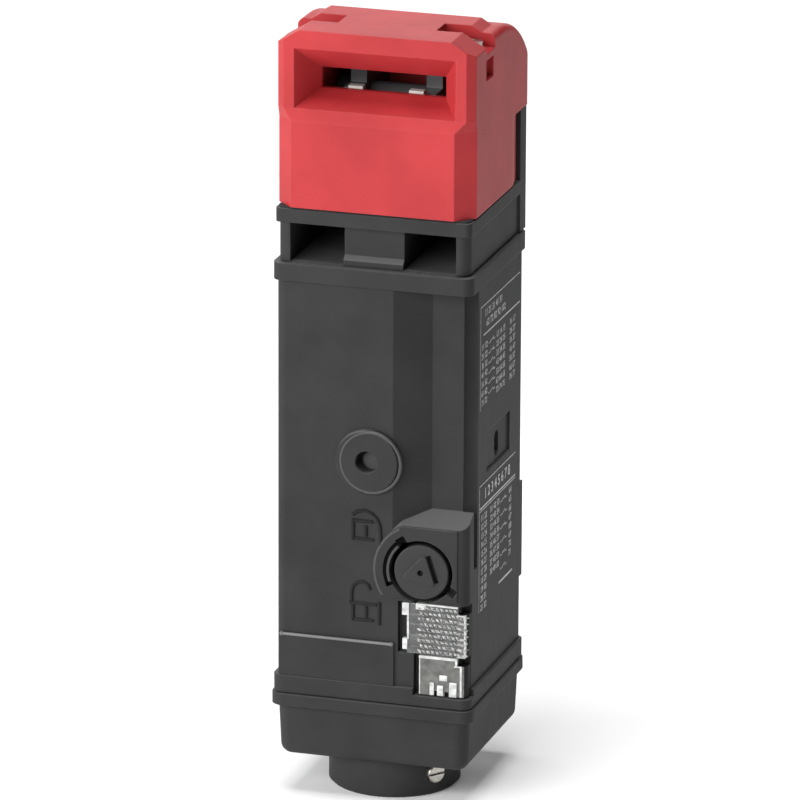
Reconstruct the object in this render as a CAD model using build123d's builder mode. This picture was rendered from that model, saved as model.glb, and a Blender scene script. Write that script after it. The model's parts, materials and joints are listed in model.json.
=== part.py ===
"""Guard-lock safety-door switch, in millimetres.

The origin is the centre of the conduit hub's mouth, +Z runs up the body to the
head, and the key slot and the release key face -Y. The flat back is at back_y.
"""

from build123d import *
import math
import os

os.makedirs("parts", exist_ok=True)

# Body, seen from the front: X across, Z up
body_half_width = 24.0
front_y = -19.8
back_y = 26.0
body_corner = 2.5
wall = 2.4

# Heights up the body
hub_radius = 16.0
base_bottom_z = 9.7
base_rim_z = 22.8
base_top_z = 25.7
gasket_thickness = 0.4
case_bottom_z = base_top_z + gasket_thickness
flange_top_z = 30.3
step_top_z = 38.9
lip_bottom_z = 129.1
lip_top_z = 133.3
neck_bottom_z = 133.7
collar_bottom_z = 143.3
neck_top_z = 146.6
seal_thickness = 0.5
head_bottom_z = neck_top_z + seal_thickness
head_top_z = 190.0

# How far each band stands out from the body
flange_proud = 0.8
rim_proud = 1.3
step_proud = 0.5
lip_proud = 0.8
groove_inset = 1.2

# Conduit entry, M20 x 1.5, and the small steel screw beside it
conduit_thread_radius = 9.19
hub_spigot_radius = 12.6
hub_fit = 0.1
hub_chamfer = 0.7
hub_screw_turn = -36.0
hub_screw_z = 5.6
hub_screw_head = 2.4
hub_screw_shank = 1.4
hub_screw_depth = 3.0
hub_screw_proud = 1.2
hub_screw_seat = 0.4
hub_screw_round = 0.5
hub_screw_slot = 0.6

# Lower casing
base_draft = 0.5
base_corner = 3.2
base_edge_round = 2.6
base_screw_inset = 6.6
base_screw_places = [
    (side * (body_half_width - base_screw_inset), y)
    for y in (front_y + base_screw_inset - 0.2, back_y - base_screw_inset)
    for side in (-1, 1)
]
post_width = 8.4
case_post_height = 12.0
base_screw_length = 18.0

# Small screws
m3_shank = 1.45
m3_hole = 1.5
m3_head_radius = 2.75
m3_head_height = 2.0
m3_head_clearance = 0.2
m3_slot = 0.7

# Front panel, slanted face and recessed strip
panel_right_x = body_half_width - 18.75
strip_left_x = body_half_width - 10.45
strip_y = -14.65
strip_corner = 2.7
step_left_x = 1.0 - body_half_width
step_right_x = panel_right_x + 0.5
disc_x = panel_right_x - 6.25
disc_z = 86.0
disc_radius = 7.9
disc_proud = 1.1
disc_chamfer = 0.35
disc_hole_radius = 2.75
disc_hole_depth = 4.3

# Release key and the hood above it
release_x = body_half_width - 11.5
release_z = 59.6
boss_radius = 12.0
boss_proud = 0.4
hood_top_z = 70.6
hood_rise = 3.5
release_recess_radius = 7.9
release_recess_depth = 5.6
arc_slot_inner = 8.6
arc_slot_outer = 9.5
arc_slot_depth = 3.0
arc_slot_start = 118.0
arc_slot_end = 204.0
lug_turns = [124.0, -30.0]
lug_width = 2.4
lug_reach = 9.8
rotor_radius = 6.8
rotor_face_proud = 0.2
rotor_stem_radius = 4.15
rotor_stem_bore = 4.2
rotor_floor_gap = 0.4
rotor_stem_back_y = -8.8
rotor_groove_radius = 3.4
rotor_groove_play = 0.1
rotor_edge_round = 0.4
rotor_seal_y = -13.4
rotor_seal_section = 0.35
clip_y = -11.9
clip_thickness = 0.7
clip_radius = 5.6
clip_opening = 3.2
crank_radius = 3.4
crank_pin_radius = 0.8
crank_back_y = 1.5
triangle_size = 5.0
triangle_turn = 78.0
triangle_proud = 0.7
triangle_round = 0.8
dot_radius = 0.75
dot_depth = 1.4
bar_groove_width = 1.1
bar_groove_depth = 1.6
bar_groove_length = 7.0

# Indicator window at the lower right corner
lens_left_x = body_half_width - 16.2
lens_side_y = -15.9
lens_bottom_z = step_top_z
lens_top_z = 51.7
lower_lens_left_x = lens_left_x + 4.0
lower_lens_side_y = -16.6
lower_lens_bottom_z = 28.7
lens_gap = 1.1
lens_thickness = 1.8
lens_fit = 0.15
foot_width = 1.9
foot_height = 2.4
foot_gaps = [lower_lens_left_x + 4.4, lower_lens_left_x + 8.4]
light_hole = (lens_left_x + 2.6, lens_left_x + 12.6, 41.2, 49.4)

# Right side, between the labels
side_recess = (-4.6, 14.6, 81.2, 91.0)
side_recess_depth = 0.5
side_hole_y = 5.0
side_hole_z = 85.6
side_hole_width = 3.4
side_hole_height = 6.4
side_hole_depth = 1.9

# Rear corners that stay square between two heights, and the rear threads
rear_pad_bottom_z = 46.0
rear_pad_top_z = 70.0
rear_pad_width = 4.0
rear_thread_x = body_half_width - 6.4
rear_thread_z = 58.0
rear_thread_radius = 2.1
rear_thread_depth = 8.0
rear_boss_height = 9.0
rear_boss_width = 8.0

# Rear cover
cover_half_width = body_half_width - 4.0
cover_bottom_z = 73.0
cover_top_z = 125.0
cover_corner = 2.0
cover_thickness = 3.2
cover_gasket = 0.4
cover_fit = 0.15
cover_ledge = 3.2
cover_screw_inset = 3.6
cover_screw_length = 8.0
cover_post = 7.4
upper_back_y = 19.6
upper_wall_z = 64.0

# Neck with two windows and the spine behind the head
neck_half_width = body_half_width - 0.3
neck_front_y = -19.2
collar_half_width = body_half_width + 0.2
collar_front_y = -19.9
collar_corner = 1.5
window_inner_x = 7.4
window_outer_x = neck_half_width - 3.2
window_back_y = 18.0
window_recess = 1.3
post_foot_height = 2.4
post_foot_reach = 1.1
mount_hole_radius = 2.65
mount_bush_radius = 4.0
mount_hole_x = neck_half_width - 9.7
mount_hole_z = 138.4
spine_front_y = 21.3
spine_top_z = 164.0
spine_half_width = collar_half_width

# Head
head_half_width = body_half_width + 0.4
head_front_y = -20.0
frame_front_y = -18.4
head_back_y = 21.0
lip_line_z = 168.3
ledge_top_z = 170.9
lower_chamfer = 4.3
frame_chamfer = 1.9
plateau_half_width = head_half_width - 5.8
plateau_shoulder_x = plateau_half_width + 2.5
plateau_side_drop = 3.5
plateau_back_y = 6.5
shoulder_z = 188.5
rear_arc_start_y = 5.0
rear_arc_end_z = 179.3
shoulder_round = 1.8
wing_bottom_z = spine_top_z + 0.3
rear_slant_x = 1.25
rear_slant_y = 14.0
funnel_half_width = head_half_width - 4.5
funnel_bottom_z = 171.0
funnel_top_z = 185.6
slot_y = -10.8
slot_half_width = 15.3
slot_bottom_z = 174.5
slot_top_z = 179.6
head_cavity_front_y = -9.4
head_cavity_back_y = 17.9
head_cavity_half_width = 15.8
head_cavity_top_z = 183.0
channel_inner_x = 12.1
channel_front_y = -8.6
channel_back_y = -1.4
channel_floor_z = 185.1
latch_front_y = -8.6
latch_back_y = -2.6
latch_bottom_z = 178.6
latch_top_z = 183.6
latch_depth = 1.4
head_screw_x = head_half_width - 4.8
head_screw_y = -5.0
head_screw_length = 41.2
spine_screw_x = spine_half_width - 6.7
spine_screw_z = 156.0
spine_screw_length = 8.0
spine_hole_depth = 6.0

# Cam in the head and its cradle
cam_y = 4.5
cam_z = 168.5
cam_travel = 50.0
cam_disc_radius = 12.0
cam_disc_x = 9.4
cam_disc_width = 4.0
cam_hub_radius = 4.4
cam_half_length = 12.2
shaft_radius = 2.5
shaft_gap = 0.05
rod_x = 4.0
lobe_width = 4.4
door_lobe = (8.0, 11.0)
lock_lobe = (11.0, 7.5)
lobe_lead = 25.0
lobe_root_radius = 3.6
follower_gap = 0.55
cradle_inner_x = 12.6
cradle_outer_x = 15.4
cradle_plate = 2.4
cradle_boss_radius = 5.4
cradle_leg = 9.0
notch = (-9.0, -0.8, 173.8, 181.5)

# White key guide behind the slot
guide_half_width = 12.0
guide_bottom_z = 169.2
guide_top_z = 172.6
guide_back_y = -8.0
guide_pad_x = 7.5
guide_pad_width = 3.6
guide_pad_back_y = -7.2
guide_pad_top_z = 175.1

# Rods and their wipers
rod_radius = 2.6
rod_hole = 3.0
rod_tip_round = 2.2
rod_stem_radius = 1.2
stem_fit = 0.02
stem_passage_gap = 0.4
rod_shoulder_z = 117.0
door_stem_bottom_z = 104.6
lock_stem_bottom_z = 90.0
wiper_radius = 3.65
wiper_gap = 0.05
wiper_height = 2.0
wiper_seat_depth = 2.4

# Contact blocks, bridges and springs
block_top_z = lip_bottom_z - wall
block_bottom_z = 101.0
block_wall = 2.2
block_front_y = -5.5
block_back_y = 14.5
block_outer_x = 15.0
block_inner_x = 0.4
block_inner_wall = 0.7
bridge_thickness = 1.0
bridge_width = 3.6
bridge_half_length = 7.2
contact_strip = 0.8
contact_button_radius = 1.2
contact_button_height = 0.7
contact_button_y = 5.6
door_contact_z = 112.0
lock_contact_z = 121.6
spring_wire = 0.35
spring_radius = 2.5
spring_turns = 4

# Solenoid
core_radius = 4.2
core_gap = 0.4
core_top_z = 96.5
core_bottom_z = 56.0
core_flange_height = 1.5
core_neck_radius = 2.5
core_neck_top_z = 62.0
coil_radius = 11.0
winding_radius = 10.2
coil_flange = 1.6
coil_bottom_z = 68.0
coil_top_z = 94.0
yoke_plate = 2.0
yoke_half_width = 10.0
yoke_front_y = -6.5
yoke_back_y = 17.5
guide_tube_wall = 0.6

# Terminals and light board
terminal_count = 6
terminal_side_gap = 3.0
terminal_pitch = 2 * (body_half_width - wall - terminal_side_gap) / terminal_count
terminal_front_y = 10.6
terminal_back_y = back_y - wall
terminal_bottom_z = 40.0
terminal_height = 11.0
terminal_cell = terminal_pitch - 1.2
terminal_cell_y = 14.6
terminal_cell_depth = 6.0
terminal_screw_radius = 1.1
terminal_head_radius = 2.0
terminal_head_height = 1.6
terminal_screw_length = 5.2
terminal_screw_slot = 0.6
terminal_slot_depth = 0.7
clamp_half_width = terminal_cell / 2 - 0.3
clamp_thickness = 1.0
board_y = -8.6
board_thickness = 1.4
board_left_x = lens_left_x + 0.8
board_right_x = body_half_width - wall - 0.4
board_bottom_z = 30.5
board_top_z = 52.0
board_peg_radius = 1.4
board_peg_inset = 2.2
led_size = 2.4
led_pitch = 3.4
led_z = 45.3
led_places = [(board_left_x + led_pitch * i, led_z) for i in (1, 2, 3)]


def finish(builder, name):
    """Label a finished piece and write it to its own file."""
    builder.part.label = name
    export_step(builder.part, f"parts/{name}.step")


def outline(z, half_width, front, back, corner):
    """Rounded rectangle across the body at height z."""
    with BuildSketch(Plane.XY.offset(z), mode=Mode.PRIVATE) as shape:
        with Locations((0, (front + back) / 2)):
            RectangleRounded(2 * half_width, back - front, corner)
    return shape.sketch


def block(low, high, mode=Mode.ADD):
    """Plain block between two corners, joined to or cut from the piece."""
    size = [high[i] - low[i] for i in range(3)]
    middle = [(high[i] + low[i]) / 2 for i in range(3)]
    with Locations(tuple(middle)):
        Box(*size, mode=mode)


def bar(start, axis, radius, length, mode=Mode.ADD):
    """Round bar or hole from a point along an axis."""
    with BuildSketch(Plane(origin=start, z_dir=axis), mode=Mode.PRIVATE) as end:
        Circle(radius)
    extrude(end.sketch, amount=length, mode=mode)


def screw(seat, axis, length):
    """Pan-head screw: the head's underside lies on the seat, the shank runs on."""
    bar(seat, axis, m3_shank, length)
    back = tuple(-part for part in axis)
    bar(seat, back, m3_head_radius, m3_head_height)
    top = Plane(origin=seat, z_dir=back).offset(m3_head_height / 2)
    with BuildSketch(top, mode=Mode.PRIVATE) as cross:
        Rectangle(m3_head_radius * 1.2, m3_slot)
        Rectangle(m3_slot, m3_head_radius * 1.2)
    extrude(cross.sketch, amount=m3_head_height / 2, mode=Mode.SUBTRACT)


def spring(x, y, bottom, top):
    """Helical compression spring between two heights."""
    height = top - bottom - 2 * spring_wire
    with BuildLine(Plane(origin=(x, y, bottom + spring_wire)), mode=Mode.PRIVATE) as path:
        Helix(pitch=height / spring_turns, height=height, radius=spring_radius)
    start = Plane(origin=path.line @ 0, z_dir=path.line % 0)
    with BuildSketch(start, mode=Mode.PRIVATE) as wire:
        Circle(spring_wire)
    sweep(sections=wire.sketch, path=path.line)


def lobe_point(radius, turn):
    """Point on the cam at an angle from straight down towards the back."""
    angle = math.radians(turn)
    return (cam_y + radius * math.sin(angle), cam_z - radius * math.cos(angle))


def lobe(x, start_radius, end_radius):
    """Cam lobe: steady while leading in, then a steady change over the cam's travel."""
    steps = 10
    rise = [
        lobe_point(start_radius + (end_radius - start_radius) * i / steps, cam_travel * i / steps)
        for i in range(steps + 1)
    ]
    last = cam_travel + lobe_lead
    with BuildSketch(Plane.YZ.offset(x - lobe_width / 2), mode=Mode.PRIVATE) as profile:
        with BuildLine():
            ThreePointArc(
                lobe_point(start_radius, -lobe_lead),
                lobe_point(start_radius, -lobe_lead / 2),
                rise[0],
            )
            Spline(*rise)
            ThreePointArc(
                rise[-1],
                lobe_point(end_radius, (cam_travel + last) / 2),
                lobe_point(end_radius, last),
            )
            Polyline(
                lobe_point(end_radius, last),
                lobe_point(lobe_root_radius, last + 75),
                lobe_point(lobe_root_radius, -lobe_lead - 75),
                lobe_point(start_radius, -lobe_lead),
            )
        make_face()
    extrude(profile.sketch, amount=lobe_width)


# Small steel screw in the right of the hub
hub_axis = (math.cos(math.radians(hub_screw_turn)), math.sin(math.radians(hub_screw_turn)), 0)
hub_plane = Plane(
    origin=(hub_axis[0] * hub_radius, hub_axis[1] * hub_radius, hub_screw_z),
    z_dir=hub_axis,
)
hub_screw_floor = tuple(hub_plane.offset(-hub_screw_depth).origin)
hub_screw_rest = tuple(hub_plane.offset(-hub_screw_seat).origin)

with BuildPart() as hub_screw:
    bar(hub_screw_floor, hub_axis, hub_screw_shank, hub_screw_depth)
    bar(hub_screw_rest, hub_axis, hub_screw_head, hub_screw_seat + hub_screw_proud)
    outer_face = hub_screw.faces().sort_by(Axis((0, 0, 0), hub_axis))[-1]
    fillet(outer_face.edges(), hub_screw_round)
    with BuildSketch(hub_plane.offset(hub_screw_proud - hub_screw_slot)):
        Rectangle(3 * hub_screw_head, hub_screw_slot)
    extrude(amount=1, mode=Mode.SUBTRACT)
finish(hub_screw, "hub_screw")

# Lower casing
with BuildPart() as base_casing:
    casing_low = outline(
        base_bottom_z,
        body_half_width - base_draft,
        front_y + base_draft,
        back_y - base_draft,
        base_corner,
    )
    casing_high = outline(base_rim_z, body_half_width, front_y, back_y, base_corner)
    loft(sections=[casing_low.face(), casing_high.face()])
    fillet(base_casing.faces().sort_by(Axis.Z)[0].edges(), base_edge_round)
    rim = outline(
        base_rim_z,
        body_half_width + rim_proud,
        front_y - rim_proud,
        back_y,
        base_corner,
    )
    extrude(rim, amount=base_top_z - base_rim_z)
    # Wiring space
    wiring = outline(
        base_bottom_z + wall,
        body_half_width - wall,
        front_y + wall,
        back_y - wall,
        body_corner,
    )
    extrude(wiring, amount=base_top_z - base_bottom_z, mode=Mode.SUBTRACT)
    # Screw posts in the corners
    with BuildSketch(Plane.XY.offset(base_bottom_z + wall)):
        with Locations(*base_screw_places):
            Rectangle(post_width, post_width)
    extrude(amount=base_top_z - base_bottom_z - wall)
    # Hole for the conduit hub's spigot
    with BuildSketch():
        Circle(hub_spigot_radius + hub_fit)
    extrude(amount=base_bottom_z + wall, mode=Mode.SUBTRACT)
    # Screw holes with sunk seats
    for x, y in base_screw_places:
        bar((x, y, 0), (0, 0, 1), m3_hole, base_top_z + 1, mode=Mode.SUBTRACT)
        sunk = base_bottom_z + m3_head_height + m3_head_clearance
        bar((x, y, 0), (0, 0, 1), m3_head_radius + m3_head_clearance, sunk, mode=Mode.SUBTRACT)
finish(base_casing, "base_casing")

# Conduit hub: its shoulder lies against the casing, its spigot fills the hole in the floor
with BuildPart() as conduit_hub:
    with BuildSketch():
        Circle(hub_radius)
    extrude(amount=base_bottom_z)
    with BuildSketch():
        Circle(hub_spigot_radius)
    extrude(amount=base_bottom_z + wall)
    with BuildSketch():
        Circle(conduit_thread_radius)
    extrude(amount=base_bottom_z + wall, mode=Mode.SUBTRACT)
    mouth_edges = conduit_hub.edges().filter_by(GeomType.CIRCLE).group_by(Axis.Z)[0]
    chamfer(mouth_edges.sort_by(SortBy.RADIUS)[-1], hub_chamfer)
    bar(hub_screw_floor, hub_axis, hub_screw_shank, 2 * hub_screw_depth, mode=Mode.SUBTRACT)
    bar(hub_screw_rest, hub_axis, hub_screw_head, hub_screw_depth, mode=Mode.SUBTRACT)
finish(conduit_hub, "conduit_hub")

with BuildPart() as base_screws:
    for x, y in base_screw_places:
        seat = (x, y, base_bottom_z + m3_head_height + m3_head_clearance)
        screw(seat, (0, 0, 1), base_screw_length)
finish(base_screws, "base_screws")

with BuildPart() as base_gasket:
    gasket_outer = outline(
        base_top_z,
        body_half_width - 0.2,
        front_y + 0.2,
        back_y - 0.2,
        body_corner,
    )
    extrude(gasket_outer, amount=gasket_thickness)
    gasket_inner = outline(
        base_top_z,
        body_half_width - wall,
        front_y + wall,
        back_y - wall,
        body_corner,
    )
    extrude(gasket_inner, amount=gasket_thickness, mode=Mode.SUBTRACT)
finish(base_gasket, "base_gasket")

# Hood and recessed strip: what is cut from the upper right of the front
strip_slope = (strip_left_x - panel_right_x) / (strip_y - front_y)
clear_y = front_y - 3
clear_x = panel_right_x + strip_slope * (clear_y - front_y)


def hood_section(y, grow):
    """Hood seen from the front, grown outwards by a distance."""
    with BuildSketch(Plane.XZ.offset(-y), mode=Mode.PRIVATE) as section:
        with Locations((release_x, release_z)):
            Circle(boss_radius + grow)
        with Locations((release_x + body_half_width / 2, release_z)):
            Rectangle(body_half_width, 2 * (boss_radius + grow))
        with Locations((release_x, hood_top_z + grow)):
            Rectangle(
                4 * body_half_width,
                2 * boss_radius,
                align=(Align.CENTER, Align.MIN),
                mode=Mode.SUBTRACT,
            )
    return section.sketch


with BuildPart() as hood:
    hood_front = hood_section(front_y - boss_proud, 0)
    hood_back = hood_section(strip_y, hood_rise)
    loft(sections=[hood_front.face(), hood_back.face()])

with BuildPart() as strip_cut:
    with BuildSketch(Plane.XY.offset(release_z)):
        with BuildLine():
            corner_x = body_half_width - strip_corner
            Polyline((clear_x, clear_y), (strip_left_x, strip_y), (corner_x, strip_y))
            RadiusArc((corner_x, strip_y), (body_half_width, strip_y + strip_corner), strip_corner)
            Polyline(
                (body_half_width, strip_y + strip_corner),
                (body_half_width + 3, strip_y + strip_corner),
                (body_half_width + 3, clear_y),
                (clear_x, clear_y),
            )
        make_face()
    extrude(amount=lip_bottom_z - release_z)
    add(hood.part, mode=Mode.SUBTRACT)

# Main case
with BuildPart() as main_case:
    body = outline(case_bottom_z, body_half_width, front_y, back_y, body_corner)
    extrude(body, amount=lip_top_z - case_bottom_z)
    add(strip_cut.part, mode=Mode.SUBTRACT)
    flange = outline(
        case_bottom_z,
        body_half_width + flange_proud,
        front_y - flange_proud,
        back_y,
        body_corner,
    )
    extrude(flange, amount=flange_top_z - case_bottom_z)
    lip = outline(
        lip_bottom_z,
        body_half_width + lip_proud,
        front_y - lip_proud,
        back_y,
        body_corner,
    )
    extrude(lip, amount=lip_top_z - lip_bottom_z)
    plateau = outline(
        lip_top_z,
        body_half_width - groove_inset,
        front_y + groove_inset,
        back_y - groove_inset,
        body_corner,
    )
    extrude(plateau, amount=neck_bottom_z - lip_top_z)
    # Lower front zone, a little proud of the panel
    block(
        (step_left_x, front_y - step_proud, flange_top_z),
        (step_right_x, front_y + 1, step_top_z),
    )
    # Square rear corners low on the body
    for side in (-1, 1):
        pad_x = sorted((side * (body_half_width - rear_pad_width), side * body_half_width))
        block(
            (pad_x[0], back_y - rear_pad_width, rear_pad_bottom_z),
            (pad_x[1], back_y, rear_pad_top_z),
        )
    # Boss round the release key, clear of the window below it and of the side
    boss_bottom_z = lens_top_z + lens_gap
    boss_right_x = body_half_width - body_corner
    boss_left_x = release_x - boss_radius
    with BuildSketch(Plane.XZ.offset(-front_y)):
        with Locations((release_x, release_z)):
            Circle(boss_radius)
            Rectangle(2 * boss_radius, 2 * boss_radius, align=(Align.MIN, Align.CENTER))
        with Locations(((boss_left_x + boss_right_x) / 2, (boss_bottom_z + hood_top_z) / 2)):
            Rectangle(
                boss_right_x - boss_left_x,
                hood_top_z - boss_bottom_z,
                mode=Mode.INTERSECT,
            )
    extrude(amount=boss_proud)
    # Round boss with a blind hole on the panel
    bar((disc_x, front_y + 1, disc_z), (0, -1, 0), disc_radius, disc_proud + 1)
    disc_edges = main_case.edges().filter_by(GeomType.CIRCLE).filter_by(
        lambda edge: abs(edge.radius - disc_radius) < 0.01 and edge.center().Y < front_y - 0.5
    )
    chamfer(disc_edges, disc_chamfer)
    # Inside
    inside_x = body_half_width - wall
    inside_y = back_y - wall
    with BuildSketch(Plane.XY.offset(case_bottom_z)):
        with BuildLine():
            Polyline(
                (-inside_x, front_y + wall),
                (panel_right_x - wall / 2, front_y + wall),
                (strip_left_x - wall / 2, strip_y + wall),
                (inside_x, strip_y + wall),
                (inside_x, inside_y),
                (-inside_x, inside_y),
                (-inside_x, front_y + wall),
            )
        make_face()
    extrude(amount=block_top_z - case_bottom_z, mode=Mode.SUBTRACT)
    # Blind hole of the round boss, in its own thicker wall
    disc_back = (disc_x, front_y + 1, disc_z)
    disc_mouth = (disc_x, front_y - disc_proud, disc_z)
    bar(disc_back, (0, 1, 0), disc_hole_radius + wall, disc_hole_depth)
    bar(disc_mouth, (0, 1, 0), disc_hole_radius, disc_hole_depth, mode=Mode.SUBTRACT)
    # Thicker rear wall behind the mechanism, with the opening for the cover
    block((-inside_x, upper_back_y, upper_wall_z), (inside_x, inside_y, block_top_z))
    with BuildSketch(Plane.XZ.offset(-back_y)):
        with Locations((0, (cover_bottom_z + cover_top_z) / 2)):
            RectangleRounded(2 * cover_half_width, cover_top_z - cover_bottom_z, cover_corner)
    extrude(amount=cover_thickness + cover_gasket, mode=Mode.SUBTRACT)
    open_x = cover_half_width - cover_ledge
    open_low = cover_bottom_z + cover_ledge
    open_high = cover_top_z - cover_ledge
    block(
        (-open_x, upper_back_y, open_low + cover_post),
        (open_x, back_y, open_high - cover_post),
        mode=Mode.SUBTRACT,
    )
    block(
        (-open_x + cover_post, upper_back_y, open_low),
        (open_x - cover_post, back_y, open_high),
        mode=Mode.SUBTRACT,
    )
    cover_screw_x = cover_half_width - cover_screw_inset
    cover_screw_heights = (cover_bottom_z + cover_screw_inset, cover_top_z - cover_screw_inset)
    cover_screw_y = back_y - m3_head_height - m3_head_clearance
    for x in (-cover_screw_x, cover_screw_x):
        for z in cover_screw_heights:
            bar((x, back_y, z), (0, -1, 0), m3_hole, cover_screw_length + 2, mode=Mode.SUBTRACT)
    # Rear threads in their bosses
    thread_end_y = back_y - rear_thread_depth - 1
    for x in (-rear_thread_x, rear_thread_x):
        block(
            (x - rear_boss_width / 2, thread_end_y, rear_thread_z - rear_boss_height / 2),
            (x + rear_boss_width / 2, inside_y, rear_thread_z + rear_boss_height / 2),
        )
        thread = (x, back_y, rear_thread_z)
        bar(thread, (0, -1, 0), rear_thread_radius, rear_thread_depth, mode=Mode.SUBTRACT)
    # Posts for the lower casing's screws
    with BuildSketch(Plane.XY.offset(case_bottom_z)):
        with Locations(*base_screw_places):
            Rectangle(post_width, post_width)
    extrude(amount=case_post_height)
    for x, y in base_screw_places:
        bar((x, y, case_bottom_z), (0, 0, 1), m3_hole, case_post_height - 1, mode=Mode.SUBTRACT)
    # Release key's recess, bore, bayonet slot and lug notches
    release_face = (release_x, front_y - boss_proud, release_z)
    recess_depth = release_recess_depth + boss_proud
    bar(release_face, (0, 1, 0), release_recess_radius, recess_depth, mode=Mode.SUBTRACT)
    stem_passage = board_y - release_face[1]
    bar(release_face, (0, 1, 0), rotor_stem_bore, stem_passage, mode=Mode.SUBTRACT)
    slot_middle = (arc_slot_inner + arc_slot_outer) / 2
    with BuildSketch(Plane(origin=release_face, x_dir=(1, 0, 0), z_dir=(0, -1, 0))):
        SlotArc(
            CenterArc(
                (0, 0),
                slot_middle,
                arc_slot_start,
                arc_slot_end - arc_slot_start,
                mode=Mode.PRIVATE,
            ),
            arc_slot_outer - arc_slot_inner,
        )
        for turn in lug_turns:
            with PolarLocations(lug_reach / 2, 1, start_angle=turn):
                Rectangle(lug_reach, lug_width)
    extrude(amount=-arc_slot_depth, mode=Mode.SUBTRACT)
    # Seats of the two clear windows
    window_front = front_y + lens_thickness + lens_fit
    window_side = body_half_width - lens_thickness - lens_fit
    far_x = body_half_width + 2
    window_top = lens_top_z + lens_fit
    window_low = lower_lens_bottom_z - lens_fit
    for left, side_y, low, high in (
        (lens_left_x - lens_gap, lens_side_y + lens_fit, lens_bottom_z, window_top),
        (lower_lens_left_x - lens_gap, lower_lens_side_y + lens_fit, window_low, lens_bottom_z),
    ):
        block((left, clear_y, low), (far_x, window_front, high), mode=Mode.SUBTRACT)
        block((window_side, clear_y, low), (far_x, side_y, high), mode=Mode.SUBTRACT)
    block(
        (light_hole[0], front_y, light_hole[2]),
        (light_hole[1], board_y, light_hole[3]),
        mode=Mode.SUBTRACT,
    )
    # Pegs for the light board
    peg_places = (
        (board_left_x + board_peg_inset, board_bottom_z + board_peg_inset),
        (board_right_x - board_peg_inset, board_bottom_z + board_peg_inset),
    )
    for x, z in peg_places:
        bar((x, strip_y + wall - 1, z), (0, 1, 0), board_peg_radius, board_y - strip_y - wall + 1)
    # Recess and long blind hole in the right side
    block(
        (body_half_width - side_recess_depth, side_recess[0], side_recess[2]),
        (body_half_width + 1, side_recess[1], side_recess[3]),
        mode=Mode.SUBTRACT,
    )
    with BuildSketch(Plane.YZ.offset(body_half_width)):
        with Locations((side_hole_y, side_hole_z)):
            SlotOverall(side_hole_height, side_hole_width, rotation=90)
    extrude(amount=-side_hole_depth, mode=Mode.SUBTRACT)
    # Passages for the two rods, with seats for their wipers
    for x in (-rod_x, rod_x):
        passage = (x, cam_y, block_top_z - 1)
        bar(passage, (0, 0, 1), rod_hole, neck_bottom_z - block_top_z + 2, mode=Mode.SUBTRACT)
        wiper_seat = (x, cam_y, neck_bottom_z - wiper_seat_depth)
        bar(wiper_seat, (0, 0, 1), wiper_radius, wiper_seat_depth, mode=Mode.SUBTRACT)
finish(main_case, "main_case")

with BuildPart() as rod_seals:
    for x in (-rod_x, rod_x):
        wiper_seat = (x, cam_y, neck_bottom_z - wiper_seat_depth)
        bar(wiper_seat, (0, 0, 1), wiper_radius, wiper_height)
        bar(wiper_seat, (0, 0, 1), rod_radius + wiper_gap, wiper_height, mode=Mode.SUBTRACT)
finish(rod_seals, "rod_seals")

# Clear windows: the body's own corner, thinned to a shell
with BuildPart() as lens_shell:
    shell_height = lens_top_z - lower_lens_bottom_z
    shell_outer = outline(lower_lens_bottom_z, body_half_width, front_y, back_y, body_corner)
    extrude(shell_outer, amount=shell_height)
    shell_inner = outline(
        lower_lens_bottom_z,
        body_half_width - lens_thickness,
        front_y + lens_thickness,
        back_y,
        lens_fit,
    )
    extrude(shell_inner, amount=shell_height, mode=Mode.SUBTRACT)

with BuildPart() as indicator_lens:
    block((lens_left_x, clear_y, lens_bottom_z), (far_x, lens_side_y, lens_top_z))
    add(lens_shell.part, mode=Mode.INTERSECT)
finish(indicator_lens, "indicator_lens")

with BuildPart() as lower_lens:
    lower_lens_top_z = lens_bottom_z - lens_fit
    block((lower_lens_left_x, clear_y, lower_lens_bottom_z), (far_x, lower_lens_side_y, lower_lens_top_z))
    add(lens_shell.part, mode=Mode.INTERSECT)
    for x in foot_gaps:
        block(
            (x - foot_width / 2, clear_y, lower_lens_bottom_z - 1),
            (x + foot_width / 2, front_y + lens_thickness + 1, lower_lens_bottom_z + foot_height),
            mode=Mode.SUBTRACT,
        )
finish(lower_lens, "lower_lens")

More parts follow.
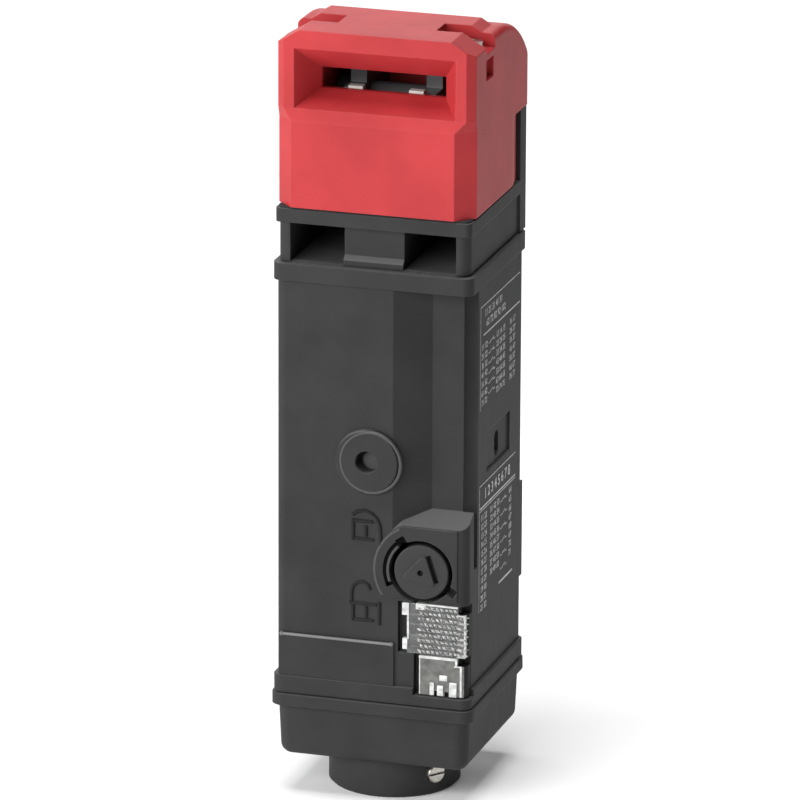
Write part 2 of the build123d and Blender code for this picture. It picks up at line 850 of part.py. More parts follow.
# Release key
rotor_front_y = front_y - boss_proud + rotor_face_proud
rotor_back_y = front_y + release_recess_depth - rotor_floor_gap
with BuildPart() as release_rotor:
    rotor_face = (release_x, rotor_front_y, release_z)
    bar(rotor_face, (0, 1, 0), rotor_radius, rotor_back_y - rotor_front_y)
    bar(rotor_face, (0, 1, 0), rotor_stem_radius, rotor_stem_back_y - rotor_front_y)
    front_edge = release_rotor.edges().filter_by(GeomType.CIRCLE).sort_by(Axis.Y)[0]
    fillet(front_edge, rotor_edge_round)
    # Grooves for the seal and the clip
    for groove_y, groove_width in (
        (rotor_seal_y, 2 * rotor_seal_section + rotor_groove_play),
        (clip_y + clip_thickness / 2, clip_thickness + rotor_groove_play),
    ):
        groove_start = (release_x, groove_y - groove_width / 2, release_z)
        with BuildSketch(Plane(origin=groove_start, z_dir=(0, 1, 0))):
            Circle(rotor_stem_radius + rotor_groove_play)
            Circle(rotor_groove_radius, mode=Mode.SUBTRACT)
        extrude(amount=groove_width, mode=Mode.SUBTRACT)
    # Raised triangle for the key, its centre dot and the groove beside it
    face_plane = Plane(origin=rotor_face, x_dir=(1, 0, 0), z_dir=(0, -1, 0))
    with BuildSketch(face_plane):
        RegularPolygon(triangle_size, 3, rotation=triangle_turn)
    extrude(amount=triangle_proud)
    triangle_edges = release_rotor.edges().filter_by(Axis.Y).filter_by(
        lambda edge: edge.center().Y < rotor_front_y
    )
    fillet(triangle_edges, triangle_round)
    with BuildSketch(face_plane.offset(triangle_proud)):
        Circle(dot_radius)
    extrude(amount=-dot_depth, mode=Mode.SUBTRACT)
    with BuildSketch(face_plane):
        with PolarLocations(triangle_size / 2 + bar_groove_width / 2, 1, start_angle=triangle_turn - 60):
            Rectangle(bar_groove_width, bar_groove_length)
    extrude(amount=-bar_groove_depth, mode=Mode.SUBTRACT)
    # Crank pin behind the wall
    pin_start = (release_x - crank_radius, rotor_stem_back_y - 1, release_z)
    bar(pin_start, (0, 1, 0), crank_pin_radius, crank_back_y - rotor_stem_back_y + 1)
finish(release_rotor, "release_rotor")

with BuildPart() as rotor_seal:
    with BuildSketch(Plane.XY.offset(release_z)):
        with Locations((release_x + rotor_groove_radius + rotor_seal_section, rotor_seal_y)):
            Circle(rotor_seal_section)
    revolve(axis=Axis((release_x, 0, release_z), (0, 1, 0)))
finish(rotor_seal, "rotor_seal")

with BuildPart() as rotor_clip:
    clip_start = (release_x, clip_y, release_z)
    bar(clip_start, (0, 1, 0), clip_radius, clip_thickness)
    clip_bore = rotor_groove_radius + rotor_groove_play / 2
    bar(clip_start, (0, 1, 0), clip_bore, clip_thickness, mode=Mode.SUBTRACT)
    block(
        (release_x - clip_opening / 2, clip_y, release_z - clip_radius - 1),
        (release_x + clip_opening / 2, clip_y + clip_thickness, release_z),
        mode=Mode.SUBTRACT,
    )
finish(rotor_clip, "rotor_clip")

# Rear cover, its gasket and screws
cover_inner_y = back_y - cover_thickness
cover_middle_z = (cover_bottom_z + cover_top_z) / 2
cover_screw_places = [(x, z) for x in (-cover_screw_x, cover_screw_x) for z in cover_screw_heights]
with BuildPart() as rear_cover:
    with BuildSketch(Plane.XZ.offset(-back_y)):
        with Locations((0, cover_middle_z)):
            RectangleRounded(
                2 * (cover_half_width - cover_fit),
                cover_top_z - cover_bottom_z - 2 * cover_fit,
                cover_corner,
            )
    extrude(amount=cover_thickness)
    for x, z in cover_screw_places:
        bar((x, back_y, z), (0, -1, 0), m3_hole, cover_thickness, mode=Mode.SUBTRACT)
        sunk_radius = m3_head_radius + m3_head_clearance
        bar((x, back_y, z), (0, -1, 0), sunk_radius, back_y - cover_screw_y, mode=Mode.SUBTRACT)
finish(rear_cover, "rear_cover")

with BuildPart() as rear_cover_gasket:
    with BuildSketch(Plane.XZ.offset(-cover_inner_y)):
        with Locations((0, cover_middle_z)):
            RectangleRounded(
                2 * (cover_half_width - 2 * cover_fit),
                cover_top_z - cover_bottom_z - 4 * cover_fit,
                cover_corner,
            )
            Rectangle(2 * open_x, open_high - open_low, mode=Mode.SUBTRACT)
        with Locations(*[(x, z) for x, z in cover_screw_places]):
            Rectangle(cover_post, cover_post)
        with Locations((0, cover_middle_z)):
            RectangleRounded(
                2 * (cover_half_width - 2 * cover_fit),
                cover_top_z - cover_bottom_z - 4 * cover_fit,
                cover_corner,
                mode=Mode.INTERSECT,
            )
        with Locations(*[(x, z) for x, z in cover_screw_places]):
            Circle(m3_hole, mode=Mode.SUBTRACT)
    extrude(amount=cover_gasket)
finish(rear_cover_gasket, "rear_cover_gasket")

with BuildPart() as rear_cover_screws:
    for x, z in cover_screw_places:
        screw((x, cover_screw_y, z), (0, -1, 0), cover_screw_length)
finish(rear_cover_screws, "rear_cover_screws")

# Neck
with BuildPart() as neck_block:
    neck_low = outline(neck_bottom_z, neck_half_width, neck_front_y, back_y, body_corner)
    extrude(neck_low, amount=neck_top_z - neck_bottom_z)
    collar = outline(collar_bottom_z, collar_half_width, collar_front_y, back_y, collar_corner)
    extrude(collar, amount=neck_top_z - collar_bottom_z)
    block(
        (-spine_half_width, spine_front_y, neck_bottom_z),
        (spine_half_width, back_y, spine_top_z),
    )
    for side in (-1, 1):
        window_x = sorted((side * window_inner_x, side * window_outer_x))
        block(
            (window_x[0], collar_front_y, neck_bottom_z),
            (window_x[1], window_back_y, collar_bottom_z),
            mode=Mode.SUBTRACT,
        )
    # Centre post, set back, with a flared foot
    post_y = neck_front_y + window_recess
    block(
        (-window_inner_x, collar_front_y, neck_bottom_z),
        (window_inner_x, post_y, collar_bottom_z),
        mode=Mode.SUBTRACT,
    )
    with BuildSketch(Plane.YZ.offset(-window_inner_x)):
        with BuildLine():
            Polyline(
                (post_y + 1, neck_bottom_z),
                (post_y - post_foot_reach, neck_bottom_z),
                (post_y - post_foot_reach, neck_bottom_z + post_foot_height - post_foot_reach),
                (post_y, neck_bottom_z + post_foot_height),
                (post_y + 1, neck_bottom_z + post_foot_height),
                (post_y + 1, neck_bottom_z),
            )
        make_face()
    extrude(amount=2 * window_inner_x)
    for x in (-rod_x, rod_x):
        passage = (x, cam_y, neck_bottom_z)
        bar(passage, (0, 0, 1), rod_hole, neck_top_z - neck_bottom_z, mode=Mode.SUBTRACT)
    for x in (-mount_hole_x, mount_hole_x):
        bush_end = (x, back_y, mount_hole_z)
        bar(bush_end, (0, -1, 0), mount_bush_radius, back_y - window_back_y, mode=Mode.SUBTRACT)
    head_screw_tip = channel_floor_z - head_screw_length
    for x in (-head_screw_x, head_screw_x):
        tip = (x, head_screw_y, head_screw_tip)
        bar(tip, (0, 0, 1), m3_hole, neck_top_z - head_screw_tip, mode=Mode.SUBTRACT)
    spine_seat_y = back_y - m3_head_height - m3_head_clearance
    for x in (-spine_screw_x, spine_screw_x):
        hole_depth = back_y - spine_front_y
        bar((x, back_y, spine_screw_z), (0, -1, 0), m3_hole, hole_depth, mode=Mode.SUBTRACT)
        sunk_radius = m3_head_radius + m3_head_clearance
        spine_hole = (x, back_y, spine_screw_z)
        bar(spine_hole, (0, -1, 0), sunk_radius, back_y - spine_seat_y, mode=Mode.SUBTRACT)
finish(neck_block, "neck_block")

with BuildPart() as mount_bushes:
    for x in (-mount_hole_x, mount_hole_x):
        bush_end = (x, back_y, mount_hole_z)
        bar(bush_end, (0, -1, 0), mount_bush_radius, back_y - window_back_y)
        bar(bush_end, (0, -1, 0), mount_hole_radius, back_y - window_back_y, mode=Mode.SUBTRACT)
finish(mount_bushes, "mount_bushes")

with BuildPart() as head_seal:
    seal_outer = outline(neck_top_z, neck_half_width, neck_front_y, head_back_y, collar_corner)
    extrude(seal_outer, amount=seal_thickness)
    seal_inner = outline(
        neck_top_z,
        head_cavity_half_width + 1,
        head_cavity_front_y - 1,
        head_cavity_back_y + 1,
        collar_corner,
    )
    extrude(seal_inner, amount=seal_thickness, mode=Mode.SUBTRACT)
    for x in (-head_screw_x, head_screw_x):
        bar((x, head_screw_y, neck_top_z), (0, 0, 1), m3_hole, 1, mode=Mode.SUBTRACT)
finish(head_seal, "head_seal")


def head_plan(z, front, corner):
    """Head seen from above at height z: chamfered front corners, slanted rear ones."""
    side = head_half_width
    rear = head_half_width - rear_slant_x
    with BuildSketch(Plane.XY.offset(z), mode=Mode.PRIVATE) as plan:
        with BuildLine():
            Polyline(
                (corner - side, front),
                (side - corner, front),
                (side, front + corner),
                (side, rear_slant_y),
                (rear, head_back_y),
                (-rear, head_back_y),
                (-side, rear_slant_y),
                (-side, front + corner),
                (corner - side, front),
            )
        make_face()
    return plan.sketch


# Head
with BuildPart() as head_housing:
    lower_plan = head_plan(head_bottom_z, head_front_y, lower_chamfer)
    extrude(lower_plan, amount=lip_line_z - head_bottom_z)
    ledge_low = head_plan(lip_line_z, head_front_y, lower_chamfer)
    ledge_high = head_plan(ledge_top_z, frame_front_y, frame_chamfer)
    loft(sections=[ledge_low.face(), ledge_high.face()], ruled=True)
    extrude(ledge_high, amount=head_top_z - ledge_top_z)
    block(
        (-head_half_width, rear_slant_y, wing_bottom_z),
        (head_half_width, back_y, head_top_z),
    )
    # Level shoulders that round down towards the back
    arc_drop = shoulder_z - rear_arc_end_z
    arc_run = back_y - rear_arc_start_y
    arc_radius = (arc_run**2 + arc_drop**2) / (2 * arc_drop)
    with BuildSketch(Plane.YZ.offset(-head_half_width - 1)):
        with BuildLine():
            Line((channel_back_y, shoulder_z), (rear_arc_start_y, shoulder_z))
            RadiusArc(
                (rear_arc_start_y, shoulder_z),
                (back_y, rear_arc_end_z),
                arc_radius,
            )
            Polyline(
                (back_y, rear_arc_end_z),
                (back_y + 1, rear_arc_end_z),
                (back_y + 1, head_top_z + 1),
                (channel_back_y, head_top_z + 1),
                (channel_back_y, shoulder_z),
            )
        make_face()
    extrude(amount=2 * head_half_width + 2, mode=Mode.SUBTRACT)
    shoulder_edges = head_housing.edges().filter_by(
        lambda edge: abs(abs(edge.center().X) - head_half_width) < 0.01
        and edge.center().Y > channel_back_y
        and edge.center().Z > rear_arc_end_z + 1
    )
    fillet(shoulder_edges, shoulder_round)
    # Raised middle of the top
    with BuildSketch(Plane.XZ.offset(-channel_back_y)):
        with BuildLine():
            Polyline(
                (-plateau_half_width, head_top_z),
                (plateau_half_width, head_top_z),
                (plateau_shoulder_x, shoulder_z),
                (plateau_shoulder_x, head_cavity_top_z + 2),
                (-plateau_shoulder_x, head_cavity_top_z + 2),
                (-plateau_shoulder_x, shoulder_z),
                (-plateau_half_width, head_top_z),
            )
        make_face()
    extrude(amount=channel_back_y - plateau_back_y)
    # Sloping sides of the front part of the top
    for side in (-1, 1):
        with BuildSketch(Plane.XZ.offset(-frame_front_y + 1)):
            with BuildLine():
                Polyline(
                    (side * plateau_half_width, head_top_z),
                    (side * head_half_width, head_top_z - plateau_side_drop),
                    (side * (head_half_width + 1), head_top_z - plateau_side_drop),
                    (side * (head_half_width + 1), head_top_z + 1),
                    (side * plateau_half_width, head_top_z + 1),
                    (side * plateau_half_width, head_top_z),
                )
            make_face()
        extrude(amount=frame_front_y - 1 - channel_back_y, mode=Mode.SUBTRACT)
    # Funnel and slot for the operation key
    funnel_middle_z = (funnel_bottom_z + funnel_top_z) / 2
    slot_middle_z = (slot_bottom_z + slot_top_z) / 2
    with BuildSketch(Plane.XZ.offset(-frame_front_y), mode=Mode.PRIVATE) as funnel_mouth:
        with Locations((0, funnel_middle_z)):
            Rectangle(2 * funnel_half_width, funnel_top_z - funnel_bottom_z)
    with BuildSketch(Plane.XZ.offset(-slot_y), mode=Mode.PRIVATE) as slot_mouth:
        with Locations((0, slot_middle_z)):
            Rectangle(2 * slot_half_width, slot_top_z - slot_bottom_z)
    loft(
        sections=[funnel_mouth.sketch.face(), slot_mouth.sketch.face()],
        ruled=True,
        mode=Mode.SUBTRACT,
    )
    extrude(slot_mouth.sketch, amount=slot_y - head_cavity_front_y - 1, mode=Mode.SUBTRACT)
    # Space for the cam
    block(
        (-head_cavity_half_width, head_cavity_front_y, head_bottom_z),
        (head_cavity_half_width, head_cavity_back_y, head_cavity_top_z),
        mode=Mode.SUBTRACT,
    )
    # Channels to the head screws and the latch notches below them
    for side in (-1, 1):
        channel_x = sorted((side * channel_inner_x, side * (head_half_width + 1)))
        block(
            (channel_x[0], channel_front_y, channel_floor_z),
            (channel_x[1], channel_back_y, head_top_z + 1),
            mode=Mode.SUBTRACT,
        )
        latch_x = sorted((side * (head_half_width - latch_depth), side * (head_half_width + 1)))
        block(
            (latch_x[0], latch_front_y, latch_bottom_z),
            (latch_x[1], latch_back_y, latch_top_z),
            mode=Mode.SUBTRACT,
        )
        screw_x = side * head_screw_x
        hole_top = (screw_x, head_screw_y, channel_floor_z)
        bar(hole_top, (0, 0, -1), m3_hole, head_screw_length, mode=Mode.SUBTRACT)
        spine_x = side * spine_screw_x
        hole_back = (spine_x, head_back_y, spine_screw_z)
        bar(hole_back, (0, -1, 0), m3_hole, spine_hole_depth, mode=Mode.SUBTRACT)
finish(head_housing, "head_housing")

with BuildPart() as head_screws:
    for x in (-head_screw_x, head_screw_x):
        screw((x, head_screw_y, channel_floor_z), (0, 0, -1), head_screw_length)
finish(head_screws, "head_screws")

with BuildPart() as spine_screws:
    for x in (-spine_screw_x, spine_screw_x):
        screw((x, spine_seat_y, spine_screw_z), (0, -1, 0), spine_screw_length)
finish(spine_screws, "spine_screws")

with BuildPart() as key_guide:
    block(
        (-guide_half_width, head_cavity_front_y, guide_bottom_z),
        (guide_half_width, guide_back_y, guide_top_z),
    )
    for x in (-guide_pad_x, guide_pad_x):
        block(
            (x - guide_pad_width / 2, head_cavity_front_y, guide_top_z),
            (x + guide_pad_width / 2, guide_pad_back_y, guide_pad_top_z),
        )
finish(key_guide, "key_guide")

# Cam, its pin and its cradle
with BuildPart() as operating_cam:
    for x in (-cam_disc_x, cam_disc_x):
        bar((x - cam_disc_width / 2, cam_y, cam_z), (1, 0, 0), cam_disc_radius, cam_disc_width)
    block(
        (-cam_half_length, notch[0], notch[2]),
        (cam_half_length, notch[1], notch[3]),
        mode=Mode.SUBTRACT,
    )
    bar((-cam_half_length, cam_y, cam_z), (1, 0, 0), cam_hub_radius, 2 * cam_half_length)
    lobe(-rod_x, *door_lobe)
    lobe(rod_x, *lock_lobe)
    bore_radius = shaft_radius + shaft_gap
    bore_start = (-cam_half_length, cam_y, cam_z)
    bar(bore_start, (1, 0, 0), bore_radius, 2 * cam_half_length, mode=Mode.SUBTRACT)
finish(operating_cam, "operating_cam")

with BuildPart() as cam_shaft:
    bar((-cradle_outer_x, cam_y, cam_z), (1, 0, 0), shaft_radius, 2 * cradle_outer_x)
finish(cam_shaft, "cam_shaft")

with BuildPart() as cam_carrier:
    plate_top_z = neck_top_z + cradle_plate
    block(
        (-cradle_outer_x, head_cavity_front_y + 0.4, neck_top_z),
        (cradle_outer_x, head_cavity_back_y - 0.3, plate_top_z),
    )
    for x in (-rod_x, rod_x):
        bar((x, cam_y, neck_top_z), (0, 0, 1), rod_hole, cradle_plate, mode=Mode.SUBTRACT)
    cheek = cradle_outer_x - cradle_inner_x
    for start in (-cradle_outer_x, cradle_inner_x):
        block(
            (start, cam_y - cradle_leg / 2, plate_top_z),
            (start + cheek, cam_y + cradle_leg / 2, cam_z),
        )
        bar((start, cam_y, cam_z), (1, 0, 0), cradle_boss_radius, cheek)
    pin_end = (-cradle_outer_x, cam_y, cam_z)
    bar(pin_end, (1, 0, 0), shaft_radius, 2 * cradle_outer_x, mode=Mode.SUBTRACT)
finish(cam_carrier, "cam_carrier")

# Rod from the cam to the door contacts
door_tip_z = cam_z - door_lobe[0] - follower_gap
with BuildPart() as switch_rod:
    bar((-rod_x, cam_y, rod_shoulder_z), (0, 0, 1), rod_radius, door_tip_z - rod_shoulder_z)
    fillet(switch_rod.faces().sort_by(Axis.Z)[-1].edges(), rod_tip_round)
    stem_length = rod_shoulder_z - door_stem_bottom_z
    bar((-rod_x, cam_y, door_stem_bottom_z), (0, 0, 1), rod_stem_radius, stem_length)
finish(switch_rod, "switch_rod")

# Slider from the cam to the solenoid's core
lock_tip_z = cam_z - lock_lobe[0] - follower_gap
with BuildPart() as lock_slider:
    bar((rod_x, cam_y, rod_shoulder_z), (0, 0, 1), rod_radius, lock_tip_z - rod_shoulder_z)
    fillet(lock_slider.faces().sort_by(Axis.Z)[-1].edges(), rod_tip_round)
    stem_length = rod_shoulder_z - lock_stem_bottom_z
    bar((rod_x, cam_y, lock_stem_bottom_z), (0, 0, 1), rod_stem_radius, stem_length)
finish(lock_slider, "lock_slider")


def bridge(x, button_z):
    """Moving contact bridge under a rod's shoulder, with a button at each end."""
    block(
        (x - bridge_width / 2, cam_y - bridge_half_length, rod_shoulder_z - bridge_thickness),
        (x + bridge_width / 2, cam_y + bridge_half_length, rod_shoulder_z),
    )
    for y in (cam_y - contact_button_y, cam_y + contact_button_y):
        bar((x, y, button_z), (0, 0, 1), contact_button_radius, contact_button_height)
    stem = (x, cam_y, rod_shoulder_z - bridge_thickness)
    bar(stem, (0, 0, 1), rod_stem_radius + stem_fit, bridge_thickness, mode=Mode.SUBTRACT)


with BuildPart() as door_bridge:
    bridge(-rod_x, rod_shoulder_z - bridge_thickness - contact_button_height)
finish(door_bridge, "door_bridge")

with BuildPart() as lock_bridge:
    bridge(rod_x, rod_shoulder_z)
finish(lock_bridge, "lock_bridge")

block_floor_z = block_bottom_z + block_wall
block_roof_z = block_top_z - block_wall


def contact_block(side):
    """Moulded block round one set of contacts, open towards the case's side."""
    outer = sorted((side * block_outer_x, side * block_inner_x))
    hollow = sorted((side * (block_outer_x + 1), side * (block_inner_x + block_inner_wall)))
    block(
        (outer[0], block_front_y, block_bottom_z),
        (outer[1], block_back_y, block_top_z),
    )
    block(
        (hollow[0], block_front_y + block_wall, block_floor_z),
        (hollow[1], block_back_y - block_wall, block_roof_z),
        mode=Mode.SUBTRACT,
    )
    x = side * rod_x
    bar((x, cam_y, block_roof_z), (0, 0, 1), rod_hole, block_wall, mode=Mode.SUBTRACT)
    stem_hole_radius = rod_stem_radius + stem_passage_gap
    bar((x, cam_y, block_bottom_z), (0, 0, 1), stem_hole_radius, block_wall, mode=Mode.SUBTRACT)


with BuildPart() as door_contact_block:
    contact_block(-1)
finish(door_contact_block, "door_contact_block")

with BuildPart() as lock_contact_block:
    contact_block(1)
finish(lock_contact_block, "lock_contact_block")


def fixed_contacts(x, button_low, strip_low, leg_low, leg_high):
    """Two fixed contacts, each a strip with a button and a leg along the block's wall."""
    for side in (-1, 1):
        middle_y = cam_y + side * contact_button_y
        wall_y = (block_front_y + block_wall) if side < 0 else (block_back_y - block_wall)
        strip_y_range = sorted((wall_y, middle_y - side * contact_button_radius))
        leg_y_range = sorted((wall_y, wall_y - side * contact_strip))
        bar((x, middle_y, button_low), (0, 0, 1), contact_button_radius, contact_button_height)
        block(
            (x - bridge_width / 2, strip_y_range[0], strip_low),
            (x + bridge_width / 2, strip_y_range[1], strip_low + contact_strip),
        )
        block(
            (x - bridge_width / 2, leg_y_range[0], leg_low),
            (x + bridge_width / 2, leg_y_range[1], leg_high),
        )


with BuildPart() as door_contacts:
    door_strip_z = door_contact_z - contact_button_height - contact_strip
    fixed_contacts(
        -rod_x,
        door_contact_z - contact_button_height,
        door_strip_z,
        block_floor_z,
        door_strip_z + contact_strip,
    )
finish(door_contacts, "door_contacts")

with BuildPart() as lock_contacts:
    lock_strip_z = lock_contact_z + contact_button_height
    fixed_contacts(rod_x, lock_contact_z, lock_strip_z, lock_strip_z, block_roof_z)
finish(lock_contacts, "lock_contacts")

with BuildPart() as rod_spring:
    spring(-rod_x, cam_y, block_floor_z, rod_shoulder_z - bridge_thickness)
finish(rod_spring, "rod_spring")

with BuildPart() as lock_spring:
    spring(rod_x, cam_y, block_floor_z, rod_shoulder_z - bridge_thickness)
finish(lock_spring, "lock_spring")

# Solenoid
tube_radius = core_radius + core_gap + guide_tube_wall
yoke_bottom_z = coil_bottom_z - yoke_plate
yoke_top_z = coil_top_z + yoke_plate
with BuildPart() as solenoid_core:
    neck_low_z = core_bottom_z + core_flange_height
    bar((rod_x, cam_y, core_bottom_z), (0, 0, 1), core_radius, core_flange_height)
    bar((rod_x, cam_y, neck_low_z), (0, 0, 1), core_neck_radius, core_neck_top_z - neck_low_z)
    bar((rod_x, cam_y, core_neck_top_z), (0, 0, 1), core_radius, core_top_z - core_neck_top_z)
    stem_hole = (rod_x, cam_y, lock_stem_bottom_z)
    stem_depth = core_top_z - lock_stem_bottom_z
    bar(stem_hole, (0, 0, 1), rod_stem_radius + stem_fit, stem_depth, mode=Mode.SUBTRACT)
finish(solenoid_core, "solenoid_core")

with BuildPart() as core_guide:
    tube_foot = (rod_x, cam_y, yoke_bottom_z)
    tube_length = yoke_top_z - yoke_bottom_z
    bar(tube_foot, (0, 0, 1), tube_radius, tube_length)
    bar(tube_foot, (0, 0, 1), core_radius + core_gap, tube_length, mode=Mode.SUBTRACT)
finish(core_guide, "core_guide")

with BuildPart() as solenoid_coil:
    coil_length = coil_top_z - coil_bottom_z
    coil_foot = (rod_x, cam_y, coil_bottom_z)
    bar(coil_foot, (0, 0, 1), winding_radius, coil_length)
    for z in (coil_bottom_z, coil_top_z - coil_flange):
        bar((rod_x, cam_y, z), (0, 0, 1), coil_radius, coil_flange)
    bar(coil_foot, (0, 0, 1), tube_radius, coil_length, mode=Mode.SUBTRACT)
finish(solenoid_coil, "solenoid_coil")

with BuildPart() as solenoid_yoke:
    for z in (yoke_bottom_z, coil_top_z):
        block(
            (rod_x - yoke_half_width, yoke_front_y, z),
            (rod_x + yoke_half_width, yoke_back_y, z + yoke_plate),
        )
    block(
        (rod_x - yoke_half_width, yoke_back_y - yoke_plate + 0.2, yoke_bottom_z),
        (rod_x + yoke_half_width, yoke_back_y, yoke_top_z),
    )
    # Pad that fastens the yoke to the rear wall below the cover
    block(
        (rod_x - yoke_half_width, yoke_back_y, yoke_bottom_z),
        (rod_x + yoke_half_width, upper_back_y, cover_bottom_z),
    )
    bar((rod_x, cam_y, yoke_bottom_z), (0, 0, 1), tube_radius, tube_length, mode=Mode.SUBTRACT)
finish(solenoid_yoke, "solenoid_yoke")

# Terminals, reached from below when the lower casing is off
terminal_places = [
    ((i - (terminal_count - 1) / 2) * terminal_pitch, terminal_cell_y) for i in range(terminal_count)
]
with BuildPart() as terminal_block:
    half_row = terminal_count * terminal_pitch / 2
    block(
        (-half_row, terminal_front_y, terminal_bottom_z),
        (half_row, terminal_back_y, terminal_bottom_z + terminal_height),
    )
    with BuildSketch(Plane.XY.offset(terminal_bottom_z)):
        with Locations(*terminal_places):
            Rectangle(terminal_cell, terminal_cell)
    extrude(amount=terminal_cell_depth, mode=Mode.SUBTRACT)
    for x, y in terminal_places:
        foot = (x, y, terminal_bottom_z)
        bar(foot, (0, 0, 1), terminal_screw_radius + shaft_gap, terminal_height - 1, mode=Mode.SUBTRACT)
finish(terminal_block, "terminal_block")

clamp_z = terminal_bottom_z + terminal_cell_depth - terminal_head_height
with BuildPart() as terminal_clamps:
    for x, y in terminal_places:
        block(
            (x - clamp_half_width, y - clamp_half_width, clamp_z),
            (x + clamp_half_width, y + clamp_half_width, clamp_z + clamp_thickness),
        )
        clamp_hole = terminal_screw_radius + shaft_gap
        bar((x, y, clamp_z), (0, 0, 1), clamp_hole, clamp_thickness, mode=Mode.SUBTRACT)
finish(terminal_clamps, "terminal_clamps")

with BuildPart() as terminal_screws:
    for x, y in terminal_places:
        bar((x, y, clamp_z), (0, 0, 1), terminal_screw_radius, terminal_screw_length)
        bar((x, y, clamp_z), (0, 0, -1), terminal_head_radius, terminal_head_height)
        head_z = clamp_z - terminal_head_height
        block(
            (x - terminal_screw_slot / 2, y - terminal_head_radius, head_z),
            (x + terminal_screw_slot / 2, y + terminal_head_radius, head_z + terminal_slot_depth),
            mode=Mode.SUBTRACT,
        )
finish(terminal_screws, "terminal_screws")

# Light board behind the clear window
with BuildPart() as led_board:
    block(
        (board_left_x, board_y, board_bottom_z),
        (board_right_x, board_y + board_thickness, board_top_z),
    )
finish(led_board, "led_board")

with BuildPart() as indicator_leds:
    for x, z in led_places:
        block(
            (x - led_size / 2, board_y - led_size, z - led_size / 2),
            (x + led_size / 2, board_y, z + led_size / 2),
        )
finish(indicator_leds, "indicator_leds")
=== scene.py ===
# %% [markdown]
# This lesson dresses a safety-door switch. The solid model gives every piece its
# place and size, so the work here is about surfaces: moulded plastic in red and
# black, clear plastic over small lamps, steel screws, and fine print on the side.
# The frame is loaded first. Nothing may grow past it.

# %% The frame
import json
import math

import bmesh
import bpy
from mathutils import Matrix, Vector


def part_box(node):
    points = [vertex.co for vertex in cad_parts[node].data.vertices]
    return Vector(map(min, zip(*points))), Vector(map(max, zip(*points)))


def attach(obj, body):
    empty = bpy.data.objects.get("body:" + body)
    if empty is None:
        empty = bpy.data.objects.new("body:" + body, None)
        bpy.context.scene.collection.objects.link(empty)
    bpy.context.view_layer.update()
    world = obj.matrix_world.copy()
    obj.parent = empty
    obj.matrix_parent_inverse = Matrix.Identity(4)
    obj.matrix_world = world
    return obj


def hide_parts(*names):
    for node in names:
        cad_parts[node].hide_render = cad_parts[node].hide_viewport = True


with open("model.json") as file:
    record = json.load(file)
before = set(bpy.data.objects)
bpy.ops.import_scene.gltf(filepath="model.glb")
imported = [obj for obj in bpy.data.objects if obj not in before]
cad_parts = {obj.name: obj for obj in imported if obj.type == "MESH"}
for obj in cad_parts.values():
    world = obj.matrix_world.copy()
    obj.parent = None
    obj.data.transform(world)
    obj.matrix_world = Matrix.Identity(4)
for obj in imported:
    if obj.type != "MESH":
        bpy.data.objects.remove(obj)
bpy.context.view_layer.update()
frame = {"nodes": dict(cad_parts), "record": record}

MM = 0.001

# %% [markdown]
# Shader maths reads best as plain expressions. A small class wraps a socket and
# answers to + - * / and <, and a second one owns the node tree. Its node method
# makes any node: settings first, then the values or links of its sockets. The same
# two classes serve materials and geometry trees.

# %% A socket that can be calculated with
class Signal:
    def __init__(self, graph, socket):
        self.graph = graph
        self.socket = socket

    def __add__(self, other):
        return self.graph.maths("ADD", self, other)

    def __sub__(self, other):
        return self.graph.maths("SUBTRACT", self, other)

    def __rsub__(self, other):
        return self.graph.maths("SUBTRACT", other, self)

    def __mul__(self, other):
        return self.graph.maths("MULTIPLY", self, other)

    def __truediv__(self, other):
        return self.graph.maths("DIVIDE", self, other)

    def __lt__(self, other):
        return self.graph.maths("LESS_THAN", self, other)

    def held(self):
        """The same value, kept between 0 and 1."""
        return self.graph.node(
            "ShaderNodeMath", {"operation": "ADD", "use_clamp": True}, {0: self, 1: 0.0}
        )

    __radd__ = __add__


class Graph:
    def __init__(self, tree):
        self.tree = tree

    def node(self, kind, settings=None, inputs=None, output=0):
        """Makes one node and returns one of its outputs."""
        made = self.tree.nodes.new(kind)
        for key, value in (settings or {}).items():
            setattr(made, key, value)
        for key, value in (inputs or {}).items():
            if isinstance(value, Signal):
                self.tree.links.new(value.socket, made.inputs[key])
            else:
                made.inputs[key].default_value = value
        return Signal(self, made.outputs[output]) if made.outputs else None

    def maths(self, operation, first, second=0.0):
        return self.node("ShaderNodeMath", {"operation": operation}, {0: first, 1: second})


print("helpers ready")

# %% [markdown]
# Every finish starts from the same sheet: a Principled shader on its output, and
# Object coordinates, which stay with the piece when it moves. Values that are the
# same all over go straight onto the shader's sockets. Each finish is filed under
# its name, and pieces ask for it by that name.

# %% A finish and its parts
finishes = {}


